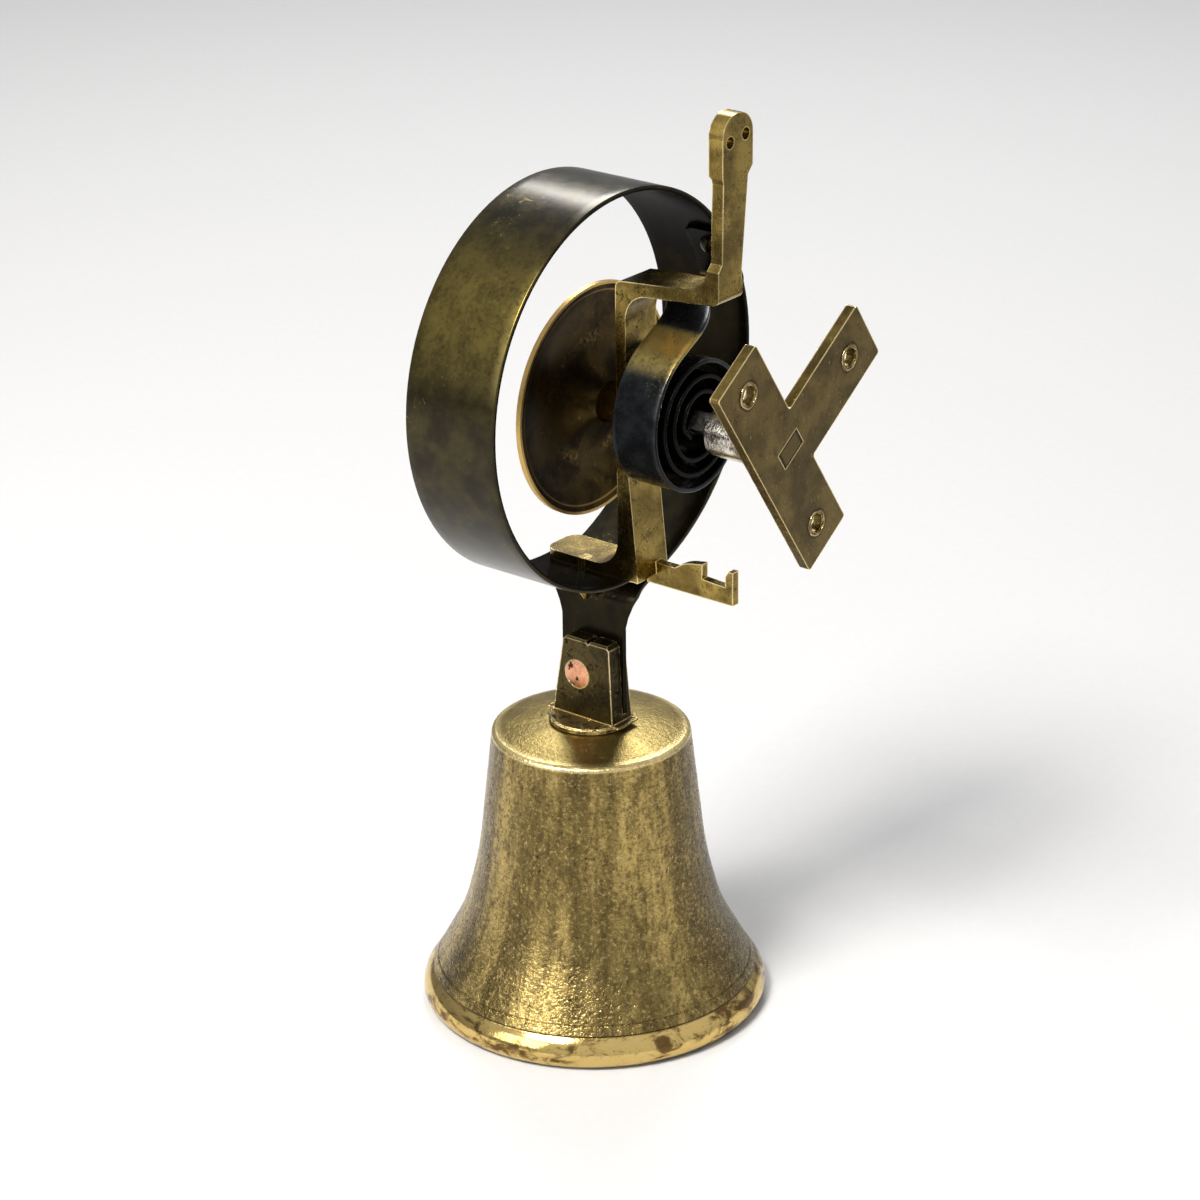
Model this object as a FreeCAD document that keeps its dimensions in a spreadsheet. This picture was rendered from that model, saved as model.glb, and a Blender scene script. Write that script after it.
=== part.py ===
"""Sprung servants' bell: a brass bell on a looped steel ribbon, swung by a pivoting carriage.

Frame, in millimetres: the spindle's axis is the Y axis and the wall plate's wall face is the
plane Y = 0, so the origin is where the spindle meets the wall. Everything hangs out in front,
towards -Y. +Z is up and +X is to the right for somebody facing the wall.
"""
import FreeCAD
import Part
import Sketcher
import math
import os
from FreeCAD import Placement, Rotation, Vector

doc = FreeCAD.newDocument("SprungBell")

# Driving sizes. Each size that a maker could set by itself is written once, here.
SIZES = [
    ("plate_thick", 2.6, "wall plate: sheet thickness"),
    ("limb_width", 16.8, "wall plate: width of each limb of the T"),
    ("bar_length", 62.8, "wall plate: length of the T's bar"),
    ("arm_reach", 36.4, "wall plate: spindle axis to the end of the T's arm"),
    ("bar_drop", 3.5, "wall plate: spindle axis to the bar's centre line"),
    ("plate_turn", 55.6, "wall plate: lean of the bar from level, degrees"),
    ("plate_corner", 0.8, "wall plate: corner rounding"),
    ("screw_hole", 4.6, "wall plate: screw hole diameter"),
    ("bar_hole_reach", 23.6, "wall plate: centre of the bar to each of its screw holes"),
    ("arm_hole_reach", 27.6, "wall plate: spindle axis to the arm's screw hole"),
    ("tenon_long", 8.2, "spindle: riveted tenon, longer side"),
    ("tenon_short", 4.8, "spindle: riveted tenon, shorter side"),
    ("flare_radius", 9.4, "spindle: foot against the plate"),
    ("boss_radius", 6.0, "spindle: boss"),
    ("boss_front", 20.1, "spindle: wall face to the boss's front end"),
    ("square_corner", 4.0, "spindle: axis to each corner of the square, before its edges are dulled"),
    ("square_dull", 0.35, "spindle: how far each corner of the square is cut back"),
    ("journal_radius", 2.7, "spindle: round journal that the carriage turns on"),
    ("stud_radius", 2.0, "spindle: front stud"),
    ("running_gap", 0.06, "radial clearance of the carriage on its journal"),
    ("end_gap", 0.35, "clearance between pieces that turn past each other"),
    ("seat_gap", 0.04, "clearance of pieces that are fixed into each other"),
    ("bar_front", 42.9, "carriage: wall face to the bar's wall side"),
    ("bar_thick", 2.9, "carriage: bar thickness"),
    ("bar_width", 11.6, "carriage: bar width"),
    ("hub_radius", 5.1, "carriage: hub radius"),
    ("hub_front", 52.6, "carriage: wall face to the hub's front end"),
    ("arm_top", 32.7, "carriage: spindle axis to the top of the upper arm"),
    ("arm_rise", 2.4, "carriage: rise of the upper arm towards the wall"),
    ("arm_thick", 3.0, "carriage: upper arm thickness"),
    ("wire_back", 16.2, "carriage: wall face to the wire arm"),
    ("wire_thick", 3.2, "carriage: wire arm thickness"),
    ("wire_top", 75.5, "carriage: spindle axis to the top of the wire arm"),
    ("wire_right", 4.2, "carriage: wire arm, axis to its right edge"),
    ("wire_left", 2.9, "carriage: wire arm, axis to its left edge at the foot"),
    ("neck_left", 5.2, "carriage: wire arm, axis to its left edge below the head"),
    ("head_left", 7.0, "carriage: head, axis to its left edge"),
    ("head_low", 60.9, "carriage: spindle axis to the bottom of the head"),
    ("head_extra", 0.8, "carriage: how much thicker the head is than the arm below it"),
    ("wire_hole", 2.8, "carriage: wire hole diameter"),
    ("wire_hole_side", 1.5, "carriage: spindle axis to the right wire hole, sideways"),
    ("wire_spacing", 5.8, "carriage: distance between the wire holes, sideways"),
    ("wire_hole_drop", 6.3, "carriage: top of the head to the right wire hole"),
    ("wire_hole_lift", 0.9, "carriage: how much higher the left wire hole is"),
    ("foot_thick", 2.5, "carriage: foot thickness above the ribbon"),
    ("foot_front", 68.4, "carriage: wall face to the foot's front end"),
    ("foot_fillet", 7.0, "carriage: fillet between bar and foot"),
    ("gusset_fillet", 6.5, "carriage: fillet under the upper arm"),
    ("wire_fillet", 6.4, "carriage: fillet between upper arm and wire arm"),
    ("toe_out", 3.0, "carriage: how far the bar's foot leans towards the wall"),
    ("stop_near", 17.3, "carriage: wall face to the end of the lower arm"),
    ("stop_face", 1.4, "carriage: axis to the right face of the lower arm"),
    ("stop_thick", 2.2, "carriage: lower arm thickness"),
    ("stop_hang", 2.4, "carriage: lower arm's under edge below the ribbon's inner face"),
    ("stop_tall", 5.6, "carriage: lower arm height at the bar"),
    ("stop_crest", 8.4, "carriage: lower arm height beside the notch"),
    ("notch_floor", 4.7, "carriage: lower arm height in the notch"),
    ("notch_wide", 6.8, "carriage: notch width"),
    ("horn_wide", 2.2, "carriage: width of the horn that ends the lower arm"),
    ("disc_radius", 28.2, "cover disc: radius"),
    ("disc_edge", 56.4, "cover disc: wall face to the rim's back edge"),
    ("rim_thick", 1.9, "cover disc: rim thickness"),
    ("disc_crown", 3.0, "cover disc: rise of its domed front"),
    ("disc_hub", 4.3, "cover disc: radius of its conical hub's end"),
    ("disc_cone", 15.8, "cover disc: radius of the ridge where its hub begins to rise"),
    ("nut_radius", 4.8, "front nut: radius"),
    ("nut_length", 4.6, "front nut: length"),
    ("loop_side", 4.5, "bell spring: spindle axis to the loop's axis, to the right"),
    ("loop_up", 5.7, "bell spring: spindle axis to the loop's axis, upward"),
    ("loop_radius", 47.7, "bell spring: middle of the ribbon in the loop"),
    ("ribbon_thick", 1.2, "bell spring: ribbon thickness"),
    ("ribbon_wide", 25.8, "bell spring: ribbon width in the loop"),
    ("neck_wide", 19.0, "bell spring: ribbon width where it enters the shank"),
    ("neck_length", 10.0, "bell spring: height over which the ribbon narrows"),
    ("end_angle", 12.6, "bell spring: loop's end past the lowest point, degrees"),
    ("leave_angle", 75.0, "bell spring: where the loop opens out, degrees from lowest"),
    ("leave_extra", 4.3, "bell spring: growth of the radius where the loop opens out"),
    ("slope_angle", 23.3, "bell spring: slope of the run to the neck, degrees"),
    ("neck_bend", 6.0, "bell spring: radius of the bend into the neck"),
    ("coil_thick", 1.1, "return coil: strip thickness"),
    ("coil_wide", 12.5, "return coil: strip width"),
    ("coil_back", 26.6, "return coil: wall face to the coil's wall side"),
    ("coil_lift", 0.6, "return coil: height of the turns' right side above the axis"),
    ("coil_last", 6.7, "return coil: radius of the innermost quarter turn"),
    ("coil_step", 0.9, "return coil: growth of the radius at each quarter turn"),
    ("coil_quarters", 12, "return coil: number of quarter turns"),
    ("tail_radius", 20.0, "return coil: radius where the tail opens out"),
    ("tail_angle", 62.0, "return coil: turn of that arc, degrees"),
    ("tail_run", 5.0, "return coil: straight run after that arc"),
    ("tail_sweep", 36.0, "return coil: radius of the long bow over the coil"),
    ("tail_bow", 45.0, "return coil: turn of the long bow, degrees"),
    ("tail_end", 140.5, "return coil: where the tail ends on the loop, degrees"),
    ("tail_proud", 1.45, "return coil: how far the tail's end stands out past the ribbon"),
    ("tail_bend", 1.8, "return coil: radius of the bend where the tail meets the loop"),
    ("rivet_angle", 147.3, "coil rivet: place on the loop, degrees"),
    ("rivet_radius", 1.6, "coil rivet: shank radius"),
    ("rivet_head", 2.7, "coil rivet: head radius"),
    ("rivet_dome", 2.0, "coil rivet: head height"),
    ("foot_rivet_radius", 1.5, "foot rivet: shank radius"),
    ("foot_rivet_side", 4.4, "foot rivet: spindle axis to the rivet, to the right"),
    ("foot_rivet_front", 56.9, "foot rivet: wall face to the rivet"),
    ("collar_radius", 2.6, "foot collar: radius"),
    ("collar_tall", 4.6, "foot collar: height"),
    ("tail_cone", 2.6, "foot rivet: height of its coned tail"),
    ("bell_side", 3.2, "bell: spindle axis to the bell's axis, to the right"),
    ("bell_front", 56.7, "bell: wall face to the bell's axis"),
    ("mouth_drop", 156.0, "bell: spindle axis down to the mouth"),
    ("mouth_radius", 42.8, "bell: greatest radius, at the lip"),
    ("lip_tall", 7.6, "bell: height of the rolled lip"),
    ("bead_in", 2.5, "bell: groove above the lip, in from the lip's radius"),
    ("flare_in", 7.5, "bell: a quarter of the way up, in from the lip's radius"),
    ("waist_share", 0.32, "bell: waist, share of the way from shoulder radius to lip radius"),
    ("upper_share", 0.147, "bell: two thirds of the way up, the same share"),
    ("shoulder_radius", 24.4, "bell: shoulder radius"),
    ("shoulder_up", 70.9, "bell: mouth to the shoulder"),
    ("crown_rise", 3.2, "bell: rise of the crown above the shoulder"),
    ("wall_thick", 2.9, "bell: wall thickness"),
    ("lip_thick", 4.3, "bell: thickness at the lip"),
    ("shoulder_round", 1.2, "bell: rounding of the shoulder"),
    ("shank_stud", 3.1, "shank: radius of the stud through the crown"),
    ("flange_radius", 10.3, "shank: flange radius"),
    ("flange_thick", 1.5, "shank: flange thickness"),
    ("block_tall", 20.4, "shank: height of the forked block"),
    ("block_low", 18.2, "shank: block width at the flange"),
    ("block_high", 14.0, "shank: block width at the top"),
    ("cheek_right", 4.2, "shank: thickness of the right cheek"),
    ("cheek_left", 2.2, "shank: thickness of the left cheek at the flange"),
    ("cheek_tip", 0.8, "shank: thickness of the left cheek at the top"),
    ("slot_floor", 1.6, "shank: flange to the bottom of the slot"),
    ("neck_side", 1.6, "shank: bell axis to the middle of the slot, to the left"),
    ("copper_radius", 3.5, "shank rivet: radius"),
    ("copper_dome", 0.5, "shank rivet: height of each peened head"),
    ("copper_up", 11.0, "shank rivet: height above the flange"),
    ("copper_front", 1.6, "shank rivet: offset from the bell's axis, away from the wall"),
    ("washer_radius", 7.5, "crown washer: radius"),
    ("washer_thick", 1.4, "crown washer: thickness"),
    ("nut_across", 10.0, "crown nut: distance across its flats"),
    ("nut_tall", 4.2, "crown nut: height"),
    ("stud_below", 1.2, "shank: stud length below the crown nut"),
    ("eye_radius", 3.4, "clapper staple: mean radius of its ring"),
    ("eye_wire", 1.0, "clapper staple and clapper: radius of the wire of each ring"),
    ("rod_radius", 1.3, "clapper: rod radius"),
    ("ball_radius", 6.6, "clapper: ball radius"),
    ("ball_up", 15.0, "clapper: mouth to the ball's centre"),
    ("ball_peg", 2.4, "clapper: length of rod below the ball"),
]
sheet = doc.addObject("Spreadsheet::Sheet", "Sizes")
for row, (alias, number, note) in enumerate(SIZES, start=1):
    sheet.set("A%d" % row, note)
    sheet.set("B%d" % row, str(number))
    sheet.setAlias("B%d" % row, alias)
doc.recompute()


class Size:
    """A number together with the expression that ties it to the sheet."""

    def __init__(self, value, text=None):
        self.value = float(value)
        self.text = text if text is not None else repr(float(value))

    @staticmethod
    def of(other):
        return other if isinstance(other, Size) else Size(other)

    def __add__(self, other):
        other = Size.of(other)
        return Size(self.value + other.value, "(%s + %s)" % (self.text, other.text))

    def __sub__(self, other):
        other = Size.of(other)
        return Size(self.value - other.value, "(%s - %s)" % (self.text, other.text))

    def __mul__(self, other):
        other = Size.of(other)
        return Size(self.value * other.value, "(%s * %s)" % (self.text, other.text))

    def __truediv__(self, other):
        other = Size.of(other)
        return Size(self.value / other.value, "(%s / %s)" % (self.text, other.text))

    def __neg__(self):
        return Size(-self.value, "(0 - %s)" % self.text)

    def __radd__(self, other):
        return Size.of(other) + self

    def __rsub__(self, other):
        return Size.of(other) - self

    def __rmul__(self, other):
        return Size.of(other) * self

    def __float__(self):
        return self.value


class Named:
    """Looks sizes up by name, so that D.plate_thick reads the sheet."""

    def __getattr__(self, name):
        return Size(sheet.get(name), "Sizes." + name)


D = Named()
nodes = {}


# Helpers for sketches and features
def plane_of(body, role):
    for feature in body.Origin.OriginFeatures:
        if feature.Role == role:
            return feature
    raise ValueError(role)


def new_body(label):
    body = doc.addObject("PartDesign::Body", label)
    body.Label = label
    nodes[label] = body
    return body


def new_sketch(body, name, role, offset=None):
    sketch = body.newObject("Sketcher::SketchObject", name)
    sketch.AttachmentSupport = [(plane_of(body, role), "")]
    sketch.MapMode = "FlatFace"
    if offset is not None:
        sketch.setExpression("AttachmentOffset.Base.z", offset.text)
    doc.recompute()
    return sketch


def pin_point(sketch, geo, pos, x, y):
    """Hold one point of a sketch at the place that two sizes give."""
    for kind, axis, size in (("DistanceX", -2, x), ("DistanceY", -1, y)):
        if size.value == 0:
            sketch.addConstraint(Sketcher.Constraint("PointOnObject", geo, pos, axis))
        else:
            index = sketch.addConstraint(
                Sketcher.Constraint(kind, -1, 1, geo, pos, size.value))
            sketch.setExpression("Constraints[%d]" % index, size.text)


def draw_loop(sketch, points, bulges=None):
    """Closed outline through points; bulges maps a side's number to a signed arc radius.

    A positive radius turns left on the way to the next point, a negative one turns right.
    """
    bulges = bulges or {}
    pts = [(Size.of(x), Size.of(y)) for x, y in points]
    count = len(pts)
    ends = []
    for i in range(count):
        a = Vector(pts[i][0].value, pts[i][1].value, 0)
        b = Vector(pts[(i + 1) % count][0].value, pts[(i + 1) % count][1].value, 0)
        if i in bulges:
            radius = bulges[i]
            left = radius.value > 0
            r = abs(radius.value)
            mid = (a + b) * 0.5
            half = (b - a).Length / 2
            normal = Vector(-(b - a).y, (b - a).x, 0).normalize()
            centre = mid + normal * (math.sqrt(r * r - half * half) * (1 if left else -1))
            first, last = (a, b) if left else (b, a)
            a0 = math.atan2((first - centre).y, (first - centre).x)
            a1 = math.atan2((last - centre).y, (last - centre).x)
            circle = Part.Circle(centre, Vector(0, 0, 1), r)
            geo = sketch.addGeometry(Part.ArcOfCircle(circle, a0, a1))
            index = sketch.addConstraint(Sketcher.Constraint("Radius", geo, r))
            sketch.setExpression("Constraints[%d]" % index,
                                 radius.text if left else (-radius).text)
            ends.append((geo, 1, 2) if left else (geo, 2, 1))
        else:
            geo = sketch.addGeometry(Part.LineSegment(a, b))
            ends.append((geo, 1, 2))
    for i in range(count):
        geo, start, stop = ends[i]
        after, begin, _ = ends[(i + 1) % count]
        sketch.addConstraint(Sketcher.Constraint("Coincident", geo, stop, after, begin))
        pin_point(sketch, geo, start, *pts[i])


def draw_circle(sketch, x, y, radius):
    x, y = Size.of(x), Size.of(y)
    geo = sketch.addGeometry(
        Part.Circle(Vector(x.value, y.value, 0), Vector(0, 0, 1), radius.value))
    index = sketch.addConstraint(Sketcher.Constraint("Radius", geo, radius.value))
    sketch.setExpression("Constraints[%d]" % index, radius.text)
    pin_point(sketch, geo, 3, x, y)


def pad(body, sketch, name, length, both=False, reverse=False):
    feature = body.newObject("PartDesign::Pad", name)
    feature.Profile = sketch
    feature.setExpression("Length", length.text)
    feature.Midplane = both
    feature.Reversed = reverse
    doc.recompute()
    return feature


def cut_through(body, sketch, name):
    """Pocket right through in both directions; it must take something away."""
    before = body.Shape.Volume
    feature = body.newObject("PartDesign::Pocket", name)
    feature.Profile = sketch
    feature.Type = 1
    feature.Midplane = True
    doc.recompute()
    if not feature.Shape.Volume < before - 1e-6:
        raise ValueError(name + " cut nothing")
    return feature


def cut_depth(body, sketch, name, length, reverse=False):
    before = body.Shape.Volume
    feature = body.newObject("PartDesign::Pocket", name)
    feature.Profile = sketch
    feature.setExpression("Length", length.text)
    feature.Reversed = reverse
    doc.recompute()
    if not feature.Shape.Volume < before - 1e-6:
        raise ValueError(name + " cut nothing")
    return feature


def turn(body, sketch, name, axis="V_Axis"):
    feature = body.newObject("PartDesign::Revolution", name)
    feature.Profile = sketch
    feature.ReferenceAxis = (sketch, [axis])
    feature.Angle = 360
    doc.recompute()
    return feature


def round_edges(body, name, radius, wanted):
    """Fillet the edges of the body's tip whose middle point passes the test."""
    base = body.Tip
    names = []
    for i, edge in enumerate(base.Shape.Edges, start=1):
        middle = edge.valueAt((edge.FirstParameter + edge.LastParameter) / 2)
        if wanted(edge, middle):
            names.append("Edge%d" % i)
    if not names:
        raise ValueError(name + " found no edge")
    feature = body.newObject("PartDesign::Fillet", name)
    feature.Base = (base, names)
    feature.setExpression("Radius", radius.text)
    doc.recompute()
    return feature


def solid_piece(label, shape):
    feature = doc.addObject("Part::Feature", label)
    feature.Label = label
    feature.Shape = shape
    nodes[label] = feature
    return feature


def along(edge, axis):
    """True for a straight edge that runs along an axis."""
    if edge.Curve.TypeId != "Part::GeomLine":
        return False
    return abs(abs(edge.tangentAt(edge.FirstParameter).dot(axis)) - 1) < 1e-6


X_WAY = Vector(1, 0, 0)
Y_WAY = Vector(0, 1, 0)
Z_WAY = Vector(0, 0, 1)

# Wall plate: a T cut from brass sheet, its bar leaning, with three screw holes
wall_plate = new_body("wall_plate")
half_limb = D.limb_width / 2
half_bar = D.bar_length / 2
outline = new_sketch(wall_plate, "PlateOutline", "XZ_Plane")
draw_loop(outline, [
    (-half_bar, -D.bar_drop - half_limb),
    (half_bar, -D.bar_drop - half_limb),
    (half_bar, half_limb - D.bar_drop),
    (half_limb, half_limb - D.bar_drop),
    (half_limb, D.arm_reach),
    (-half_limb, D.arm_reach),
    (-half_limb, half_limb - D.bar_drop),
    (-half_bar, half_limb - D.bar_drop),
])
pad(wall_plate, outline, "PlateSheet", D.plate_thick)
round_edges(wall_plate, "PlateCorners", D.plate_corner,
            lambda edge, p: along(edge, Y_WAY))
holes = new_sketch(wall_plate, "ScrewHoles", "XZ_Plane")
draw_circle(holes, D.bar_hole_reach, -D.bar_drop, D.screw_hole / 2)
draw_circle(holes, -D.bar_hole_reach, -D.bar_drop, D.screw_hole / 2)
draw_circle(holes, 0, D.arm_hole_reach, D.screw_hole / 2)
cut_through(wall_plate, holes, "ScrewHoleCut")
mortise = new_sketch(wall_plate, "Mortise", "XZ_Plane")
half_long = D.tenon_long / 2 + D.seat_gap
half_short = D.tenon_short / 2 + D.seat_gap
draw_loop(mortise, [(-half_short, -half_long), (half_short, -half_long),
                    (half_short, half_long), (-half_short, half_long)])
cut_through(wall_plate, mortise, "MortiseCut")
lean = Rotation(Y_WAY, -D.plate_turn.value)
wall_plate.Placement = Placement(Vector(0, 0, 0), lean)

# Spindle: tenon, flared foot, boss, square for the coil, journal for the carriage, front stud
spindle = new_body("spindle")
foot_y = -D.plate_thick
boss_y = -D.boss_front
square_end = -(D.bar_front - D.end_gap)
journal_end = -(D.hub_front + D.end_gap)
nut_seat = -(D.disc_edge + D.rim_thick + D.disc_crown)
stud_end = nut_seat - D.nut_length + 1.6
profile = new_sketch(spindle, "SpindleProfile", "XY_Plane")
draw_loop(profile, [
    (0, foot_y),
    (0, stud_end),
    (D.stud_radius, stud_end),
    (D.stud_radius, journal_end),
    (D.journal_radius, journal_end),
    (D.journal_radius, boss_y),
    (D.boss_radius, boss_y),
    (D.boss_radius, -D.plate_thick - (D.flare_radius - D.boss_radius) * 2.6),
    (D.flare_radius, -D.plate_thick - 1.0),
    (D.flare_radius, foot_y),
], {7: -(D.flare_radius - D.boss_radius) * 3.2})
turn(spindle, profile, "SpindleTurning")
tenon = new_sketch(spindle, "Tenon", "XZ_Plane")
draw_loop(tenon, [
    (-D.tenon_short / 2, -D.tenon_long / 2), (D.tenon_short / 2, -D.tenon_long / 2),
    (D.tenon_short / 2, D.tenon_long / 2), (-D.tenon_short / 2, D.tenon_long / 2)])
pad(spindle, tenon, "TenonPad", D.plate_thick + 0.2)
square = new_sketch(spindle, "CoilSquare", "XZ_Plane", D.boss_front - 0.2)
turn_back = math.radians(D.plate_turn.value)
corner_a = D.square_corner * Size(math.cos(turn_back), "cos(Sizes.plate_turn)")
corner_b = D.square_corner * Size(math.sin(turn_back), "sin(Sizes.plate_turn)")
dull = D.square_dull / D.square_corner
tips = [(corner_a, -corner_b), (corner_b, corner_a), (-corner_a, corner_b), (-corner_b, -corner_a)]
blunt = []
for k in range(4):
    (x0, z0), (x1, z1), (x2, z2) = tips[k - 1], tips[k], tips[(k + 1) % 4]
    blunt += [(x1 + (x0 - x1) * dull, z1 + (z0 - z1) * dull),
              (x1 + (x2 - x1) * dull, z1 + (z2 - z1) * dull)]
draw_loop(square, blunt)
pad(spindle, square, "CoilSquarePad", D.bar_front - D.end_gap - D.boss_front + 0.2)
spindle.Placement = Placement(Vector(0, 0, 0), lean)

# Cover disc: thin turned brass, domed in front, with a conical hub behind
cover_disc = new_body("cover_disc")
rim_back = -D.disc_edge
rim_front = -(D.disc_edge + D.rim_thick)
disc_hub_end = journal_end - 0.15
dish = rim_back - D.rim_thick * 0.75
disc_profile = new_sketch(cover_disc, "DiscProfile", "XY_Plane")
draw_loop(disc_profile, [
    (D.stud_radius + D.seat_gap, disc_hub_end),
    (D.stud_radius + D.seat_gap, nut_seat),
    (D.disc_cone, nut_seat),
    (D.disc_radius - 0.8, rim_front),
    (D.disc_radius, rim_front + 0.7),
    (D.disc_radius, rim_back),
    (D.disc_radius - 1.1, rim_back),
    (D.disc_cone, dish - 0.7),
    (D.disc_hub, disc_hub_end),
], {2: D.disc_radius * 1.6, 6: -D.disc_radius * 0.9, 7: -D.disc_radius * 0.55})
turn(cover_disc, disc_profile, "DiscTurning")

# Front nut: a small domed brass nut that holds the cover disc on the stud
spindle_nut = new_body("spindle_nut")
nut_profile = new_sketch(spindle_nut, "NutProfile", "XY_Plane")
nut_front = nut_seat - D.nut_length
draw_loop(nut_profile, [
    (D.stud_radius + D.seat_gap, nut_seat),
    (D.stud_radius + D.seat_gap, stud_end - 0.3),
    (0, stud_end - 0.3),
    (0, nut_front - 0.9),
    (D.nut_radius * 0.75, nut_front + 0.6),
    (D.nut_radius, nut_seat - D.nut_length * 0.35),
    (D.nut_radius, nut_seat),
], {3: D.nut_radius * 1.1})
turn(spindle_nut, nut_profile, "NutTurning")

# Carriage: one brass casting seen from the side as a Z: wire arm, upper arm, bar and foot
carriage = new_body("carriage")
ribbon_in = D.loop_radius - D.ribbon_thick / 2
ribbon_floor = D.loop_up - ribbon_in
bar_wall = -D.bar_front
bar_away = -(D.bar_front + D.bar_thick)
foot_up = ribbon_floor + D.foot_thick
wire_wall = -D.wire_back
wire_away = -(D.wire_back + D.wire_thick)
arm_far = D.arm_top + D.arm_rise
side = new_sketch(carriage, "SideProfile", "YZ_Plane")
draw_loop(side, [
    (-D.foot_front, ribbon_floor - 4),
    (bar_wall + D.toe_out, ribbon_floor - 4),
    (bar_wall + D.toe_out, ribbon_floor + 1.5),
    (bar_wall, ribbon_floor * 0.25),
    (bar_wall, D.arm_top - D.arm_thick),
    (wire_wall, arm_far - D.arm_thick),
    (wire_wall, D.wire_top),
    (wire_away - D.head_extra, D.wire_top),
    (wire_away - D.head_extra, D.head_low + 0.5),
    (wire_away, D.head_low),
    (wire_away, arm_far),
    (bar_away, D.arm_top),
    (bar_away, foot_up),
    (-D.foot_front, foot_up),
])
pad(carriage, side, "SideCasting", (D.head_left + 1) * 2, both=True)
near = 1.0
round_edges(carriage, "FootFillet", D.foot_fillet, lambda edge, p: along(edge, X_WAY)
            and (p - Vector(0, bar_away.value, foot_up.value)).Length < near)
round_edges(carriage, "GussetFillet", D.gusset_fillet, lambda edge, p: along(edge, X_WAY)
            and (p - Vector(0, bar_wall.value, (D.arm_top - D.arm_thick).value)).Length < near)
round_edges(carriage, "WireFillet", D.wire_fillet, lambda edge, p: along(edge, X_WAY)
            and (p - Vector(0, wire_away.value, arm_far.value)).Length < near)
round_edges(carriage, "HeelRound", D.arm_thick * 0.6, lambda edge, p: along(edge, X_WAY)
            and ((p - Vector(0, wire_wall.value, (arm_far - D.arm_thick).value)).Length < near
                 or (p - Vector(0, bar_away.value, D.arm_top.value)).Length < near))
front = new_sketch(carriage, "FrontOutline", "XZ_Plane")
half_width = D.bar_width / 2
big = D.wire_top + 20
draw_loop(front, [(-big, -big), (big, -big), (big, big), (-big, big)])
draw_loop(front, [
    (half_width, ribbon_floor - 6),
    (half_width, arm_far + D.wire_fillet * 0.75),
    (D.wire_right + 0.2, arm_far + D.wire_fillet),
    (D.wire_right - 0.3, D.head_low - 0.9),
    (D.wire_right, D.head_low + 0.3),
    (D.wire_right, D.wire_top + 2),
    (-D.head_left, D.wire_top + 2),
    (-D.head_left, D.head_low + 1.6),
    (-D.neck_left, D.head_low - 0.4),
    (-D.wire_left, arm_far + D.wire_fillet * 0.5),
    (-D.wire_left - 0.4, arm_far + 0.4),
    (-half_width, arm_far + 0.2),
    (-half_width, ribbon_floor - 6),
])
cut_through(carriage, front, "FrontCut")
head_round = (D.head_left + D.wire_right) / 2 * 0.93
round_edges(carriage, "HeadRound", head_round, lambda edge, p: along(edge, Y_WAY)
            and abs(p.z - D.wire_top.value) < 0.01)
plan = new_sketch(carriage, "ArmPlan", "XY_Plane", arm_far + 3)
taper_end = -D.wire_left - 0.4
draw_loop(plan, [
    (taper_end, wire_wall + 4),
    (taper_end, wire_away + 1.0),
    (-half_width, bar_wall + D.gusset_fillet),
    (-half_width - 4, bar_wall + D.gusset_fillet),
    (-half_width - 4, wire_wall + 4),
])
cut_depth(carriage, plan, "ArmTaper", D.arm_rise + D.arm_thick + 6)
seat = new_sketch(carriage, "FootSeat", "XZ_Plane")
seat_half = D.head_left + 6
seat_arc = ribbon_in - 0.03
seat_drop = seat_arc * seat_arc - seat_half * seat_half
seat_edge = D.loop_up - Size(math.sqrt(seat_drop.value), "sqrt(%s)" % seat_drop.text)
draw_loop(seat, [
    (D.loop_side - seat_half, seat_edge),
    (D.loop_side - seat_half, ribbon_floor - 12),
    (D.loop_side + seat_half, ribbon_floor - 12),
    (D.loop_side + seat_half, seat_edge),
], {3: -seat_arc})
cut_through(carriage, seat, "FootSeatCut")
round_edges(carriage, "ToeRound", D.bar_width / 3.4, lambda edge, p: along(edge, Z_WAY)
            and abs(p.y + D.foot_front.value) < 0.01 and p.z < 0)
hub = new_sketch(carriage, "Hub", "XZ_Plane", D.bar_front + 0.5)
draw_circle(hub, 0, 0, D.hub_radius)
pad(carriage, hub, "HubPad", D.hub_front - D.bar_front - 0.5)
stop = new_sketch(carriage, "LowerArm", "YZ_Plane", -(D.stop_face + D.stop_thick))
stop_end = -D.stop_near
stop_base = ribbon_floor - D.stop_hang
notch_wall = stop_end - D.horn_wide - D.notch_wide
arm_root = bar_wall + 0.3
draw_loop(stop, [
    (arm_root, stop_base),
    (stop_end, stop_base),
    (stop_end, stop_base + D.stop_crest),
    (stop_end - D.horn_wide * 0.6, stop_base + D.stop_crest),
    (stop_end - D.horn_wide, stop_base + D.notch_floor + 2.4),
    (stop_end - D.horn_wide, stop_base + D.notch_floor - 0.4),
    (notch_wall, stop_base + D.notch_floor),
    (notch_wall, stop_base + D.stop_crest),
    (notch_wall - 2.4, stop_base + D.stop_crest - 0.4),
    (notch_wall - 8.0, stop_base + D.stop_tall),
    (arm_root + 3.6, stop_base + D.stop_tall),
    (arm_root, stop_base + D.stop_tall + 0.6),
], {8: D.stop_crest * 1.3})
pad(carriage, stop, "LowerArmPad", D.stop_thick)
bore = new_sketch(carriage, "Bore", "XZ_Plane")
draw_circle(bore, 0, 0, D.journal_radius + D.running_gap)
cut_through(carriage, bore, "BoreCut")
wire_holes = new_sketch(carriage, "WireHoles", "XZ_Plane")
hole_up = D.wire_top - D.wire_hole_drop
draw_circle(wire_holes, D.wire_hole_side, hole_up, D.wire_hole / 2)
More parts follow.
